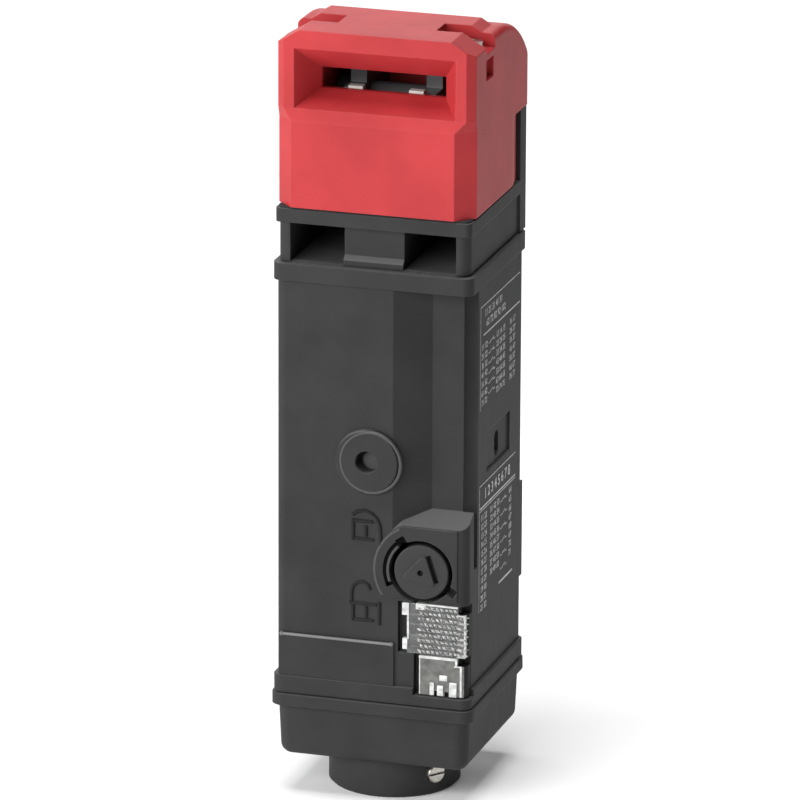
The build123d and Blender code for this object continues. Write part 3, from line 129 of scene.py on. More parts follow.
class Finish(Graph):
    def __init__(self, name):
        self.material = bpy.data.materials.new(name)
        self.material.use_nodes = True
        super().__init__(self.material.node_tree)
        self.tree.nodes.clear()
        self.place = self.node("ShaderNodeTexCoord", output="Object")
        finishes[name] = self.material

    def noise(self, size, detail=2.0, rough=0.5, stretch=None):
        """Noise whose features are about size metres across."""
        place = self.place
        if stretch:
            place = self.node("ShaderNodeMapping", None, {"Vector": place, "Scale": stretch})
        return self.node(
            "ShaderNodeTexNoise",
            {"noise_dimensions": "3D"},
            {"Vector": place, "Scale": 1 / size, "Detail": detail, "Roughness": rough},
        )

    def blend(self, factor, first, second):
        """Mixes two colours. The Mix node takes them at 6 and 7 and gives one at 2."""
        return self.node(
            "ShaderNodeMix",
            {"data_type": "RGBA", "blend_type": "MIX"},
            {0: factor, 6: first, 7: second},
            output=2,
        )

    def edges(self, radius):
        """Softened normal at the edges, and a mask that is 1 on them."""
        soft = self.node("ShaderNodeBevel", {"samples": 6}, {"Radius": radius})
        true = self.node("ShaderNodeNewGeometry", output="Normal")
        facing = self.node(
            "ShaderNodeVectorMath", {"operation": "DOT_PRODUCT"}, {0: soft, 1: true}, output="Value"
        )
        return soft, ((1.0 - facing) * 6.0).held()

    def bump(self, height, distance, strength, normal=None):
        """Relief from a height, on top of a softened normal where there is one."""
        inputs = {"Strength": strength, "Distance": distance, "Height": height}
        if normal is not None:
            inputs["Normal"] = normal
        return self.node("ShaderNodeBump", None, inputs)

    def shade(self, inputs):
        """Ends the tree in a Principled shader."""
        shader = self.node("ShaderNodeBsdfPrincipled", None, inputs)
        self.node("ShaderNodeOutputMaterial", None, {"Surface": shader})


def rgb(red, green, blue):
    """Linear colour with full alpha."""
    return (red, green, blue, 1.0)


def grey(shade):
    """Linear grey with full alpha."""
    return rgb(shade, shade, shade)


def scaled(colour, factor, lift=0.0):
    """The same colour made darker or lighter, with full alpha."""
    return tuple(min(1.0, factor * part + lift) for part in colour[:3]) + (1.0,)


print("finish sheet ready")

# %% [markdown]
# Moulded housings come out of a spark-eroded steel tool, which leaves a fine even
# grain. Three scales make it: the grain itself as bump, slow clouds that change the
# tone a little, and rubbed edges that are a shade lighter. A Bevel node rounds the
# sharp CAD edges in the shading, so each edge catches a thin line of light. Faces
# that look up can be painted lighter, a painted sheen for the light on tops.

# %% Moulded plastic
def moulded(
    name,
    colour,
    edge_colour,
    roughness,
    grain=0.35 * MM,
    depth=0.02 * MM,
    edge=0.35 * MM,
    gloss=0.3,
    dust_and_sheen=None,
):
    finish = Finish(name)
    fine = finish.noise(grain, detail=3.0, rough=0.6)
    clouds = finish.noise(14 * MM, detail=3.0)
    rubs = finish.noise(3 * MM, detail=4.0, rough=0.7, stretch=(1.0, 1.0, 0.25))
    soft, on_edge = finish.edges(edge)
    cloudy = ((clouds - 0.3) * 2.2).held()
    toned = finish.blend(cloudy, scaled(colour, 0.86), scaled(colour, 1.08, 0.004))
    worn = on_edge * ((rubs - 0.35) * 2.5).held()
    base = finish.blend(worn * 0.7, toned, edge_colour)
    # Painted sheen: faces that look up are blended towards a lighter colour, for the light that
    # falls on tops.
    if dust_and_sheen:
        normal = finish.node("ShaderNodeNewGeometry", output="Normal")
        upward = finish.node("ShaderNodeSeparateXYZ", None, {0: normal}, output="Z")
        dust_and_sheen_mask = ((upward - 0.3) * 2.5).held() * (0.7 + clouds * 0.5)
        base = finish.blend(dust_and_sheen_mask, base, dust_and_sheen)
    finish.shade(
        {
            "Base Color": base,
            "Roughness": (roughness + (rubs - 0.5) * 0.12 + (fine - 0.5) * 0.08).held(),
            "IOR": 1.5,
            "Specular IOR Level": gloss,
            "Normal": finish.bump(fine, depth, 0.6, soft),
        }
    )


moulded("red_plastic", rgb(0.415, 0.026, 0.030), rgb(0.56, 0.10, 0.10), 0.5, gloss=0.25)
moulded(
    "black_plastic",
    rgb(0.0265, 0.026, 0.0265),
    grey(0.10),
    0.58,
    gloss=0.15,
    # The lighter colour for faces that look up is a painted sheen.
    dust_and_sheen=rgb(0.085, 0.085, 0.086),
)
moulded("key_plastic", rgb(0.027, 0.027, 0.0275), grey(0.11), 0.45, grain=0.25 * MM, gloss=0.2)
for name, colour, edge_colour, roughness in (
    ("white_plastic", rgb(0.55, 0.55, 0.53), rgb(0.7, 0.7, 0.68), 0.4),
    ("cam_plastic", rgb(0.13, 0.13, 0.135), grey(0.24), 0.34),
    ("carrier_plastic", rgb(0.022, 0.022, 0.024), grey(0.06), 0.5),
    ("rod_plastic", rgb(0.70, 0.67, 0.58), rgb(0.80, 0.77, 0.70), 0.38),
    ("moulded_plastic", rgb(0.42, 0.38, 0.30), rgb(0.52, 0.48, 0.40), 0.5),
):
    moulded(name, colour, edge_colour, roughness)
print("finishes so far:", len(finishes))

# %% [markdown]
# Metal needs three kinds here. Turned and stamped steel shows fine lines from the
# tool, plated screws are brighter and smoother, and the contacts are warm brass
# with darker spots where they have begun to tarnish.

# %% Metals
def metal(name, colour, roughness, line_stretch, tarnish):
    finish = Finish(name)
    lines = finish.noise(0.6 * MM, detail=3.0, stretch=line_stretch)
    spots = finish.noise(2.5 * MM, detail=4.0, rough=0.65)
    soft, on_edge = finish.edges(0.15 * MM)
    spotted = ((spots - 0.45) * 3.0).held() * 0.6
    finish.shade(
        {
            "Base Color": finish.blend(spotted, colour, scaled(colour, tarnish)),
            "Metallic": 1.0,
            "Roughness": (roughness + (lines - 0.5) * 0.2 + on_edge * 0.05).held(),
            "Normal": finish.bump(lines, 0.01 * MM, 0.35, soft),
        }
    )


metal("steel", rgb(0.56, 0.56, 0.57), 0.34, line_stretch=(1.0, 1.0, 12.0), tarnish=0.7)
metal("screw_steel", rgb(0.52, 0.50, 0.46), 0.3, line_stretch=(3.0, 3.0, 3.0), tarnish=0.6)
metal("contact_metal", rgb(0.80, 0.58, 0.26), 0.28, line_stretch=(6.0, 1.0, 1.0), tarnish=0.6)
print("finishes so far:", len(finishes))

# %% [markdown]
# The soft and small pieces are mostly hidden inside, but each has its own finish:
# dull rubber, the amber tape of the winding, a coated board with copper tracks, and
# lamp resin.

# %% Rubber, tape, board and resin
def rubber_finish():
    finish = Finish("rubber")
    dust_and_sheen = finish.noise(5 * MM, detail=5.0)
    fine = finish.noise(0.2 * MM)
    dust_and_sheen_mask = ((dust_and_sheen - 0.5) * 3.0).held()
    base = finish.blend(dust_and_sheen_mask, rgb(0.018, 0.018, 0.019), rgb(0.045, 0.044, 0.042))
    bump = finish.bump(fine, 0.02 * MM, 0.5)
    finish.shade({"Base Color": base, "Roughness": (0.75 + dust_and_sheen * 0.2).held(), "Normal": bump})


def tape_finish():
    finish = Finish("coil_tape")
    turns = finish.node(
        "ShaderNodeTexWave",
        {"wave_type": "BANDS", "bands_direction": "Z"},
        {"Vector": finish.place, "Scale": 180.0, "Distortion": 0.4},
        output="Fac",
    )
    base = finish.blend(turns, rgb(0.36, 0.17, 0.03), rgb(0.62, 0.34, 0.08))
    bump = finish.bump(turns, 0.1 * MM, 0.7)
    finish.shade({"Base Color": base, "Roughness": (0.25 + turns * 0.1).held(), "Normal": bump})


def board_finish():
    finish = Finish("board")
    tracks = finish.node(
        "ShaderNodeTexVoronoi",
        {"feature": "DISTANCE_TO_EDGE", "distance": "CHEBYCHEV"},
        {"Vector": finish.place, "Scale": 420.0},
        output="Distance",
    )
    line = tracks < 0.09
    base = finish.blend(line, rgb(0.018, 0.11, 0.045), rgb(0.05, 0.22, 0.10))
    bump = finish.bump(line, 0.03 * MM, 0.6)
    finish.shade({"Base Color": base, "Roughness": 0.3, "Normal": bump})


def resin_finish():
    finish = Finish("led_resin")
    clouds = finish.noise(1.2 * MM)
    base = finish.blend(clouds, rgb(0.85, 0.62, 0.20), rgb(0.95, 0.84, 0.45))
    finish.shade({"Base Color": base, "Roughness": (0.12 + clouds * 0.1).held(), "IOR": 1.5})


for make in (rubber_finish, tape_finish, board_finish, resin_finish):
    make()
print("finishes so far:", len(finishes))

# %% [markdown]
# The window is clear plastic with a pattern of small prisms that throws the lamps'
# light about. Seen unlit, the clear wall itself looks dark, because black plastic
# lies behind it, and only the prisms, the rim and the feet look bright. So there
# are four finishes: clear for the wall, one painted bright for the rim and feet, a
# painted light with painted glints on its edges, a patchy painted light for the
# prisms, and a smoked one for the lower window, the bands and the steps.

# %% Clear and smoked plastic, and painted light for the window
def clear_finish(name, dark, light, transmission, roughness):
    finish = Finish(name)
    ripple = finish.noise(2 * MM, detail=2.0)
    finish.shade(
        {
            "Base Color": finish.blend(((ripple - 0.3) * 2.5).held(), dark, light),
            "Roughness": (roughness + ripple * 0.08).held(),
            "IOR": 1.49,
            "Transmission Weight": transmission,
            "Normal": finish.bump(ripple, 0.05 * MM, 0.4),
        }
    )


def painted_light_finish(name, dark, light, patch, sharpness):
    finish = Finish(name)
    grain = finish.noise(0.5 * MM, detail=4.0, rough=0.6)
    patches = finish.noise(patch, detail=2.0, stretch=(1.0, 1.0, 1.6))
    soft, on_edge = finish.edges(0.12 * MM)
    # Painted light: the bright tone stands for the lamps' light that the prisms throw about, and
    # edges are painted near white as painted glints.
    tone = finish.blend(((patches - 0.5) * sharpness + 0.5).held(), dark, light)
    finish.shade(
        {
            "Base Color": finish.blend(on_edge * 0.6, tone, rgb(0.92, 0.93, 0.90)),
            "Roughness": (0.12 + grain * 0.15).held(),
            "IOR": 1.49,
            "Transmission Weight": 0.2,
            "Normal": finish.bump(grain, 0.03 * MM, 0.4, soft),
        }
    )


clear_finish("clear_plastic", rgb(0.20, 0.21, 0.21), rgb(0.50, 0.51, 0.51), 0.8, 0.06)
clear_finish("smoked_plastic", rgb(0.085, 0.085, 0.08), rgb(0.17, 0.17, 0.16), 0.15, 0.14)
# Painted light for the window's rim, feet and prisms.
painted_light_finish("frosted_plastic", rgb(0.42, 0.43, 0.42), rgb(0.84, 0.85, 0.83), 2.2 * MM, 2.5)
painted_light_finish("prism_plastic", grey(0.16), rgb(0.88, 0.90, 0.86), 0.8 * MM, 3.5)
print("finishes so far:", len(finishes))

# %% [markdown]
# More finishes serve single details: the polished bead on the ledge, also painted
# lighter as a painted highlight, the soft rims of the bosses, the floor of a blind
# hole and the lip of the bayonet, painted lighter as painted light, the dull dark of
# raised marks, of window walls that lie in shadow and of a deep slot, all painted
# dark as painted shade, and the two inks of the print on the side, which is worn.
# All but the inks are moulded plastic with a finer grain.

# %% Beads, marks, gaps and inks
for name, shade, edge_shade, roughness, gloss in (
    # Painted highlight: the bead is much lighter than the black plastic.
    ("bead_plastic", 0.15, 0.26, 0.4, 0.4),
    ("rim_plastic", 0.04, 0.06, 0.4, 0.5),
    # Painted light: the floor of the blind hole and the lip of the bayonet.
    ("hole_plastic", 0.05, 0.08, 0.6, 0.2),
    # Painted shade: the marks, the window walls and the slot are painted dark.
    ("mark_plastic", 0.013, 0.016, 0.6, 0.15),
    ("shaded_plastic", 0.014, 0.02, 0.6, 0.15),
    ("gap_black", 0.002, 0.003, 0.9, 0.0),
):
    moulded(
        name,
        grey(shade),
        grey(edge_shade),
        roughness,
        grain=0.3 * MM,
        depth=0.01 * MM,
        edge=0.1 * MM,
        gloss=gloss,
    )


def ink_finish(name, thin, full):
    finish = Finish(name)
    wear = finish.noise(0.9 * MM, detail=4.0, rough=0.7)
    base = finish.blend(((wear - 0.4) * 3.0).held(), grey(thin), grey(full))
    finish.shade({"Base Color": base, "Roughness": (0.55 + wear * 0.2).held()})


ink_finish("print_ink", thin=0.30, full=0.75)
ink_finish("rule_ink", thin=0.42, full=0.80)
print("finishes in all:", len(finishes))

# %% [markdown]
# Each solid takes the finish that its slot in the record names. The solids
# themselves stay as they are: only what their material slots hold is changed.

# %% Dressing the solids
for part in frame["record"]["subparts"]:
    solid = frame["nodes"][part["node"]]
    for holder in solid.material_slots:
        holder.material = finishes[part["material_slot"]]

# %% [markdown]
# New pieces are made in a few ways, and end in the same one: a mesh gets its
# finish, its object goes into the scene, and it is tied to its body. Every piece
# that is added here rides on the base body.

# %% Pieces and rings
def linked(name, data):
    """A new object for some data, in the scene."""
    made = bpy.data.objects.new(name, data)
    bpy.context.scene.collection.objects.link(made)
    return made


def plain_mesh(source):
    """What an object looks like now, as a mesh of its own."""
    bpy.context.view_layer.update()
    seen = source.evaluated_get(bpy.context.evaluated_depsgraph_get())
    return bpy.data.meshes.new_from_object(seen)


def settle(piece, body):
    """Ties a finished piece to its body."""
    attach(piece, body)


def finished(name, builder, finish):
    """Turns a bmesh into a piece with outward faces."""
    bmesh.ops.recalc_face_normals(builder, faces=builder.faces)
    mesh = bpy.data.meshes.new(name)
    builder.to_mesh(mesh)
    builder.free()
    mesh.materials.append(finishes[finish])
    piece = linked(name, mesh)
    settle(piece, "base")
    print(name, "faces:", len(mesh.polygons))
    return piece


def sleeve(builder, rings, closed=False):
    """Faces between rings of vertices, with two end faces unless they close up."""
    following = rings[1:] + rings[:1] if closed else rings[1:]
    for first, second in zip(rings, following):
        for i in range(len(first)):
            j = (i + 1) % len(first)
            builder.faces.new((first[i], first[j], second[j], second[i]))
    if not closed:
        builder.faces.new(rings[0])
        builder.faces.new(list(reversed(rings[-1])))


def turn_points(centre, radius, start, end, steps):
    """Points on an arc, in degrees."""
    angles = [math.radians(start + (end - start) * i / steps) for i in range(steps + 1)]
    return [(centre[0] + radius * math.cos(a), centre[1] + radius * math.sin(a)) for a in angles]


print("piece helpers ready")

# %% [markdown]
# Pieces that repeat come from Geometry Nodes. A tree gets named inputs for its
# sizes, a helper hangs it on an empty mesh, reads the result back as a plain mesh
# and takes the modifier off again, so the piece is ordinary geometry.

# %% Trees for repeated shapes
def new_tree(name, inputs):
    """Geometry tree with a named float or integer input for each size."""
    tree = bpy.data.node_groups.new(name, "GeometryNodeTree")
    tree.interface.new_socket("Geometry", in_out="OUTPUT", socket_type="NodeSocketGeometry")
    for title, value in inputs.items():
        kind = "NodeSocketInt" if isinstance(value, int) else "NodeSocketFloat"
        socket = tree.interface.new_socket(title, in_out="INPUT", socket_type=kind)
        socket.default_value = value
    graph = Graph(tree)
    entry = tree.nodes.new("NodeGroupInput")
    sizes = {title: Signal(graph, entry.outputs[title]) for title in inputs}
    return graph, sizes


def close_tree(graph, shape, finish):
    """Realizes the copies, gives them their finish and ends the tree."""
    real = graph.node("GeometryNodeRealizeInstances", None, {"Geometry": shape})
    dressed = graph.node(
        "GeometryNodeSetMaterial", None, {"Geometry": real, "Material": finishes[finish]}
    )
    graph.node("NodeGroupOutput", None, {"Geometry": dressed})
    return graph.tree


def grown(tree, name, sizes, matrix):
    """Runs a tree once, moves the resulting plain mesh into place and settles it."""
    carrier = linked(name, bpy.data.meshes.new(name))
    runner = carrier.modifiers.new("grow", "NODES")
    runner.node_group = tree
    for item in tree.interface.items_tree:
        if item.in_out == "INPUT":
            runner[item.identifier] = sizes[item.name]
    mesh = plain_mesh(carrier)
    carrier.modifiers.clear()
    carrier.data = mesh
    mesh.transform(matrix)
    settle(carrier, "base")
    print(name, "faces:", len(mesh.polygons))


print("tree helpers ready")

# %% [markdown]
# The prisms are low four-sided points in staggered rows. A grid of points carries
# them, and its rows are pushed to the left and to the right in turn by a quarter of
# the pitch. Each point gets a cone with four sides. All cones are turned the same
# way, but each by its own amount and with its own size, drawn with a fixed seed,
# because moulded prisms catch the light unevenly.

# %% Prism pattern
def prism_tree():
    defaults = {"Width": 10 * MM, "Height": 10 * MM, "Foot": 1 * MM, "Rise": 0.3 * MM}
    graph, size = new_tree("prism_rows", {**defaults, "Columns": 6, "Rows": 6})
    grid = graph.node(
        "GeometryNodeMeshGrid",
        None,
        {
            "Size X": size["Width"],
            "Size Y": size["Height"],
            "Vertices X": size["Columns"],
            "Vertices Y": size["Rows"],
        },
    )
    place = graph.node("GeometryNodeInputPosition")
    height = graph.node("ShaderNodeSeparateXYZ", None, {0: place}, output="Y")
    pitch = size["Height"] / (size["Rows"] - 1.0)
    rank = graph.maths("ROUND", (height + size["Height"] / 2.0) / pitch)
    odd = graph.maths("MODULO", rank, 2.0)
    step = size["Width"] / (size["Columns"] - 1.0)
    shift = graph.node("ShaderNodeCombineXYZ", None, {"X": (odd - 0.5) * step * 0.5})
    rows = graph.node("GeometryNodeSetPosition", None, {"Geometry": grid, "Offset": shift})
    cone = graph.node(
        "GeometryNodeMeshCone",
        {"fill_type": "NGON"},
        {"Vertices": 4, "Radius Top": 0.0, "Radius Bottom": size["Foot"], "Depth": size["Rise"]},
    )

    def drawn(low, high, seed):
        """A vector drawn for each prism, between two others."""
        return graph.node(
            "FunctionNodeRandomValue",
            {"data_type": "FLOAT_VECTOR"},
            {0: low, 1: high, "Seed": seed},
        )

    turns = drawn((0.0, 0.0, -0.95), (0.0, 0.0, -0.35), 7)
    swell = drawn((1.0, 0.5, 0.7), (1.4, 0.75, 1.3), 11)
    copies = graph.node(
        "GeometryNodeInstanceOnPoints",
        None,
        {"Points": rows, "Instance": cone, "Rotation": turns, "Scale": swell},
    )
    return close_tree(graph, copies, "prism_plastic")


prism_rows = prism_tree()
print("prism tree nodes:", len(prism_rows.nodes))

# %% [markdown]
# Shells, bars and plates of the window are outlines in X and Y, drawn up to their
# height. A bevel in the mesh rounds their edges, because sharp clear plastic looks
# like cut paper, and the round edge is what shines.

# %% Upright shells and rounded boxes
def upright(builder, outline, z_low, z_high, rounding):
    """Prism over an outline of X and Y in millimetres, with rounded ends."""
    low = [builder.verts.new((x * MM, y * MM, z_low * MM)) for x, y in outline]
    high = [builder.verts.new((x * MM, y * MM, z_high * MM)) for x, y in outline]
    ends = [builder.faces.new(low), builder.faces.new(high)]
    for i in range(len(outline)):
        j = (i + 1) % len(outline)
        builder.faces.new((low[i], low[j], high[j], high[i]))
    edges = [edge for face in ends for edge in face.edges]
    bmesh.ops.bevel(
        builder, geom=edges, offset=rounding * MM, segments=2, profile=0.5, affect="EDGES"
    )


def blocks(name, corners, rounding, finish):
    """One piece of rounded boxes, each between two corners in millimetres."""
    builder = bmesh.new()
    for low, high in corners:
        outline = [(low[0], low[1]), (high[0], low[1]), (high[0], high[1]), (low[0], high[1])]
        upright(builder, outline, low[2], high[2], rounding)
    return finished(name, builder, finish)


def corner_outline(left, front, right, back, thick, corner):
    """L-shaped wall that goes round the front right corner."""
    centre = (right - corner, front + corner)
    outer = [(left, front)] + turn_points(centre, corner, -90, 0, 8) + [(right, back)]
    inner_corner = max(corner - thick, 0.3)
    inner_centre = (right - thick - inner_corner, front + thick + inner_corner)
    inner = [(right - thick, back)] + turn_points(inner_centre, inner_corner, 0, -90, 5)
    return outer + inner + [(left, front + thick)]


def wing(name, left, right, back, z_low, z_high):
    """The side wall of a window, painted dark as painted shade."""
    builder = bmesh.new()
    outline = corner_outline(left, front, right, back, thick, corner=2.0)
    upright(builder, outline, z_low, z_high, 0.15)
    # Painted shade: the wall is painted dark for the shadow it lies in.
    finished(name, builder, "shaded_plastic")


print("window helpers ready")

# %% [markdown]
# The upper window is a flat front plate with a lower band at its right, and beside
# the band a wing, painted dark as painted shade, goes round the corner. A rim of
# tabs, ribs and edges is painted bright, as painted light. The steps are short bars
# at the plate's left, between the tabs and the prisms.

# %% Upper window
window_low, window_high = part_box("indicator_lens")
left, right = window_low.x / MM, window_high.x / MM
front, back = window_low.y / MM, window_high.y / MM
foot, top = window_low.z / MM, window_high.z / MM
thick = 1.8
wing_left = right - 2.25
wing_top = top - 2.0
band_right = right - 0.4
rim_right = band_right + 0.05
print("upper window from", (left, front, foot), "to", (right, back, top))

plate = ((left + 1.1, front, foot + 0.1), (wing_left, front + thick, top - 0.05))
upper_window = blocks("upper_window", [plate], 0.15, "clear_plastic")
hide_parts("indicator_lens")
wing("upper_window_wing", wing_left + 0.05, right, back, foot + 0.1, wing_top)
front_band = (
    (wing_left - 0.2, front - 0.05, foot + 0.1),
    (band_right, front + 0.9, wing_top - 0.1),
)
blocks("upper_window_band", [front_band], 0.12, "smoked_plastic")

upper_rim = (
    # The upper tab at the left, and the tab beside it.
    ((left, front - 0.15, top - 3.2), (left + 1.7, front + 1.0, top - 0.1)),
    ((left + 3.4, front - 0.15, top - 1.5), (left + 5.9, front + 1.0, top)),
    # The rib at the left, and the lower tab.
    ((left + 1.25, front - 0.1, foot + 3.6), (left + 1.7, front + 1.0, top - 3.2)),
    ((left + 0.1, front - 0.15, foot + 1.0), (left + 1.3, front + 1.0, foot + 3.8)),
    # The top edge of the plate.
    ((left + 5.9, front - 0.1, top - 0.45), (wing_left - 0.1, front + 0.8, top + 0.05)),
    # The top, right and bottom edges of the band.
    ((wing_left - 0.25, front - 0.12, wing_top - 0.4), (rim_right, front + 1.0, wing_top - 0.02)),
    ((band_right - 0.35, front - 0.14, foot + 0.2), (rim_right, front + 1.0, wing_top - 0.1)),
    ((wing_left - 0.3, front - 0.1, foot + 0.05), (band_right, front + 0.9, foot + 0.4)),
)
blocks("upper_window_rim", upper_rim, 0.1, "frosted_plastic")
steps = [
    ((left + 1.9, front - 0.05, foot + z), (left + 4.4, front + 0.5, foot + z + 0.5))
    for z in (1.6, 4.4, 7.2, 9.6)
]
blocks("upper_window_steps", steps, 0.1, "smoked_plastic")

# %% [markdown]
# Three fields of prisms stand on this window: a large one on the plate, a narrow
# one on the band, and a slim one on the band's right edge.

# %% Prisms on the window
def prism_field(name, middle, width, height, columns, rows, foot_size, matrix):
    """One field of prisms about a middle, in millimetres."""
    sizes = {
        "Width": width * MM,
        "Height": height * MM,
        "Columns": columns,
        "Rows": rows,
        "Foot": foot_size * MM,
        "Rise": 0.6 * MM,
    }
    place = Matrix.Translation(Vector(middle) * MM) @ matrix
    grown(prism_rows, name, sizes, place)


facing_front = Matrix.Rotation(math.radians(90), 4, "X")
facing_right = Matrix.Rotation(math.radians(90), 4, "Z") @ facing_front
block_left, block_right = left + 4.6, wing_left - 0.35
block_low, block_high = foot + 0.8, top - 1.1
middle = ((block_left + block_right) / 2, front - 0.05, (block_low + block_high) / 2)
span = (block_right - block_left, block_high - block_low)
prism_field("window_prisms", middle, *span, 9, 9, 0.62, facing_front)
middle = ((wing_left + band_right) / 2, front - 0.1, (foot + wing_top) / 2)
prism_field("window_band_prisms", middle, 1.1, wing_top - foot - 1.4, 3, 8, 0.55, facing_front)
middle = (rim_right, front + 0.45, (foot + wing_top) / 2)
prism_field("window_edge_prisms", middle, 0.3, wing_top - foot - 1.2, 2, 7, 0.5, facing_right)

# %% [markdown]
# The lower window is smoked rather than clear. It is a plate on three feet with
# dark gaps between them, a band at its right and a wing round the corner, painted
# dark as painted shade. Its rim is painted bright again, as painted light. The rim's
# corners are given from the front left foot of the window's box.

# %% Lower window
lower_low, lower_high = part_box("lower_lens")
low_left, low_back = lower_low.x / MM, lower_high.y / MM
low_foot, low_top = lower_low.z / MM, lower_high.z / MM
low_wing_left = right - 2.5
low_wing_top = low_top - 1.9
print("lower window from", (low_left, front, low_foot), "to", (right, low_back, low_top))

lower_plate = [
    ((low_left + 0.3, front, low_foot + 1.3), (low_wing_left, front + thick, low_top - 0.1))
]
for x_low, x_high in ((0.3, 4.1), (4.8, 6.7), (7.6, 9.6)):
    foot_low = (low_left + x_low, front, low_foot + 0.15)
    lower_plate.append((foot_low, (low_left + x_high, front + thick, low_foot + 1.6)))
lower_window = blocks("lower_window", lower_plate, 0.15, "smoked_plastic")
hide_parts("lower_lens")
wing("lower_window_wing", low_wing_left + 0.05, right - 0.1, low_back, low_foot + 0.1, low_wing_top)
lower_band = (
    (low_wing_left - 0.2, front - 0.04, low_foot + 0.3),
    (right - 0.75, front + 0.9, low_wing_top - 0.05),
)
blocks("lower_window_band", [lower_band], 0.12, "smoked_plastic")


def from_foot(offset):
    """A point at an offset from the window's front left foot."""
    return (low_left + offset[0], front + offset[1], low_foot + offset[2])


lower_rim = (
    # The top edge of the plate, and its end at the right.
    ((0.25, -0.2, 9.35), (9.75, 0.8, 10.05)),
    ((9.3, -0.12, 7.9), (9.8, 0.8, 9.6)),
    # The bright fronts of the three feet.
    ((3.0, -0.25, 0.3), (4.05, 0.8, 3.5)),
    ((4.85, -0.25, 0.3), (6.35, 0.8, 2.9)),
    ((7.9, -0.25, 0.25), (9.7, 0.8, 3.9)),
    # The small tab above them, and the left edge.
    ((5.4, -0.12, 4.1), (7.3, 0.6, 5.5)),
    ((0.3, -0.06, 0.3), (0.55, 0.6, 9.3)),
    # The top and right edges of the band.
    ((9.0, -0.1, 7.75), (10.9, 0.8, 8.15)),
    ((10.5, -0.14, 0.3), (10.95, 0.8, 8.1)),
)
lower_rim = [(from_foot(low), from_foot(high)) for low, high in lower_rim]
blocks("lower_window_rim", lower_rim, 0.1, "frosted_plastic")

# %% [markdown]
# The two padlock marks on the front panel are raised lines from the mould, one
# with its shackle shut and one with it lifted. Each is drawn as strokes along a
# path: a ribbon with sloped flanks, so that it catches light on one side and is
# dark on the other, like the real one. Their finish is painted darker than the
# panel, as painted shade. The paths are points of X and Z.

# %% Raised strokes
panel_y = -19.8
mark_width = 0.95
mark_rise = 0.42
mark_root = 0.1
crest_share = 0.15


def stroke(builder, points):
    """Ridge along points of X and Z in millimetres, standing on the front panel."""
    rings = []
    for i, (x, z) in enumerate(points):
        before, after = points[max(i - 1, 0)], points[min(i + 1, len(points) - 1)]
        along = Vector((after[0] - before[0], 0, after[1] - before[1])).normalized()
        across = Vector((along.z, 0, -along.x)) * mark_width
        centre = Vector((x, panel_y, z))
        root, rise = Vector((0, mark_root, 0)), Vector((0, mark_rise, 0))
        ring = [
            centre - across * 0.5 + root,
            centre - across * 0.5,
            centre - across * crest_share - rise,
            centre + across * crest_share - rise,
            centre + across * 0.5,
            centre + across * 0.5 + root,
        ]
        rings.append([builder.verts.new(place * MM) for place in ring])
    sleeve(builder, rings)


closed_shackle = [(-4.7, 72.4), (-3.4, 73.3), (-1.7, 73.7), (0.1, 73.1), (1.5, 71.8)]
closed_shackle += [(2.2, 70.0), (2.35, 67.8), (2.3, 65.4)]
open_shackle = [(-0.2, 53.9), (-0.8, 55.2), (-2.1, 55.8), (-3.5, 55.5), (-4.5, 54.5)]
open_shackle += [(-4.85, 52.9), (-4.85, 50.8)]
closed_mark = [
    closed_shackle,
    [(0.4, 71.0), (-4.5, 71.0)],
    [(-4.5, 71.3), (-4.5, 66.2)],
    [(-4.8, 66.5), (0.6, 66.5)],
    [(-1.3, 69.9), (-1.3, 67.3)],
]
open_mark = [
    open_shackle,
    [(-5.4, 50.3), (1.3, 50.3)],
    [(-4.5, 50.2), (-4.5, 46.0)],
    [(-4.8, 46.2), (0.6, 46.2)],
    [(-1.15, 49.6), (-1.15, 46.9)],
    [(2.1, 51.0), (2.1, 45.3)],
]
for name, paths in (("padlock_mark_closed", closed_mark), ("padlock_mark_open", open_mark)):
    marks = bmesh.new()
    for path in paths:
        stroke(marks, path)
    # Painted shade: the marks' finish is darker than the panel.
    finished(name, marks, "mark_plastic")

# %% [markdown]
# The ledge at the lower left gets a thin cap, which lifts its upper edge a little. A
# fine bead runs along that edge, and it shows as a bright line because it faces the
# light and because its finish is painted much lighter, a painted highlight. The bead
# is a tube of ten sides, with a small ball at each end.

# %% Ledge cap and bead
def tube(builder, points, radii, sides=10):
    """Closed tube along points, with a radius at each, in millimetres."""
    rings = []
    for i, place in enumerate(points):
        before = Vector(points[max(i - 1, 0)])
        after = Vector(points[min(i + 1, len(points) - 1)])
        along = (after - before).normalized()
        first = along.orthogonal().normalized()
        second = along.cross(first)
        ring = []
        for k in range(sides):
            angle = 2 * math.pi * k / sides
            spoke = first * math.cos(angle) + second * math.sin(angle)
            ring.append(builder.verts.new((Vector(place) + spoke * radii[i]) * MM))
        rings.append(ring)
    sleeve(builder, rings)


ledge_left, ledge_right = -23.0, 5.78
ledge_foot, ledge_top = 29.0, 40.85
ledge_y = -20.3
cap = (
    (ledge_left, ledge_y - 0.03, ledge_foot),
    (ledge_right, ledge_y + 0.6, ledge_top),
)
blocks("ledge_cap", [cap], 0.12, "black_plastic")

bead = bmesh.new()
tube(bead, [(x, ledge_y, ledge_top) for x in (-22.5, -22.3, 5.3)], [0.3, 0.36, 0.36])
ball_radii = [0.03, 0.42, 0.62, 0.42, 0.03]
ball_step = 0.28
for start_x in (-22.9, 4.7):
    ball = [(start_x + ball_step * i, ledge_y + 0.05, ledge_top) for i in range(len(ball_radii))]
    tube(bead, ball, ball_radii, sides=12)
# The bead's finish is a painted highlight: it is much lighter than the black plastic.
finished("ledge_bead", bead, "bead_plastic")

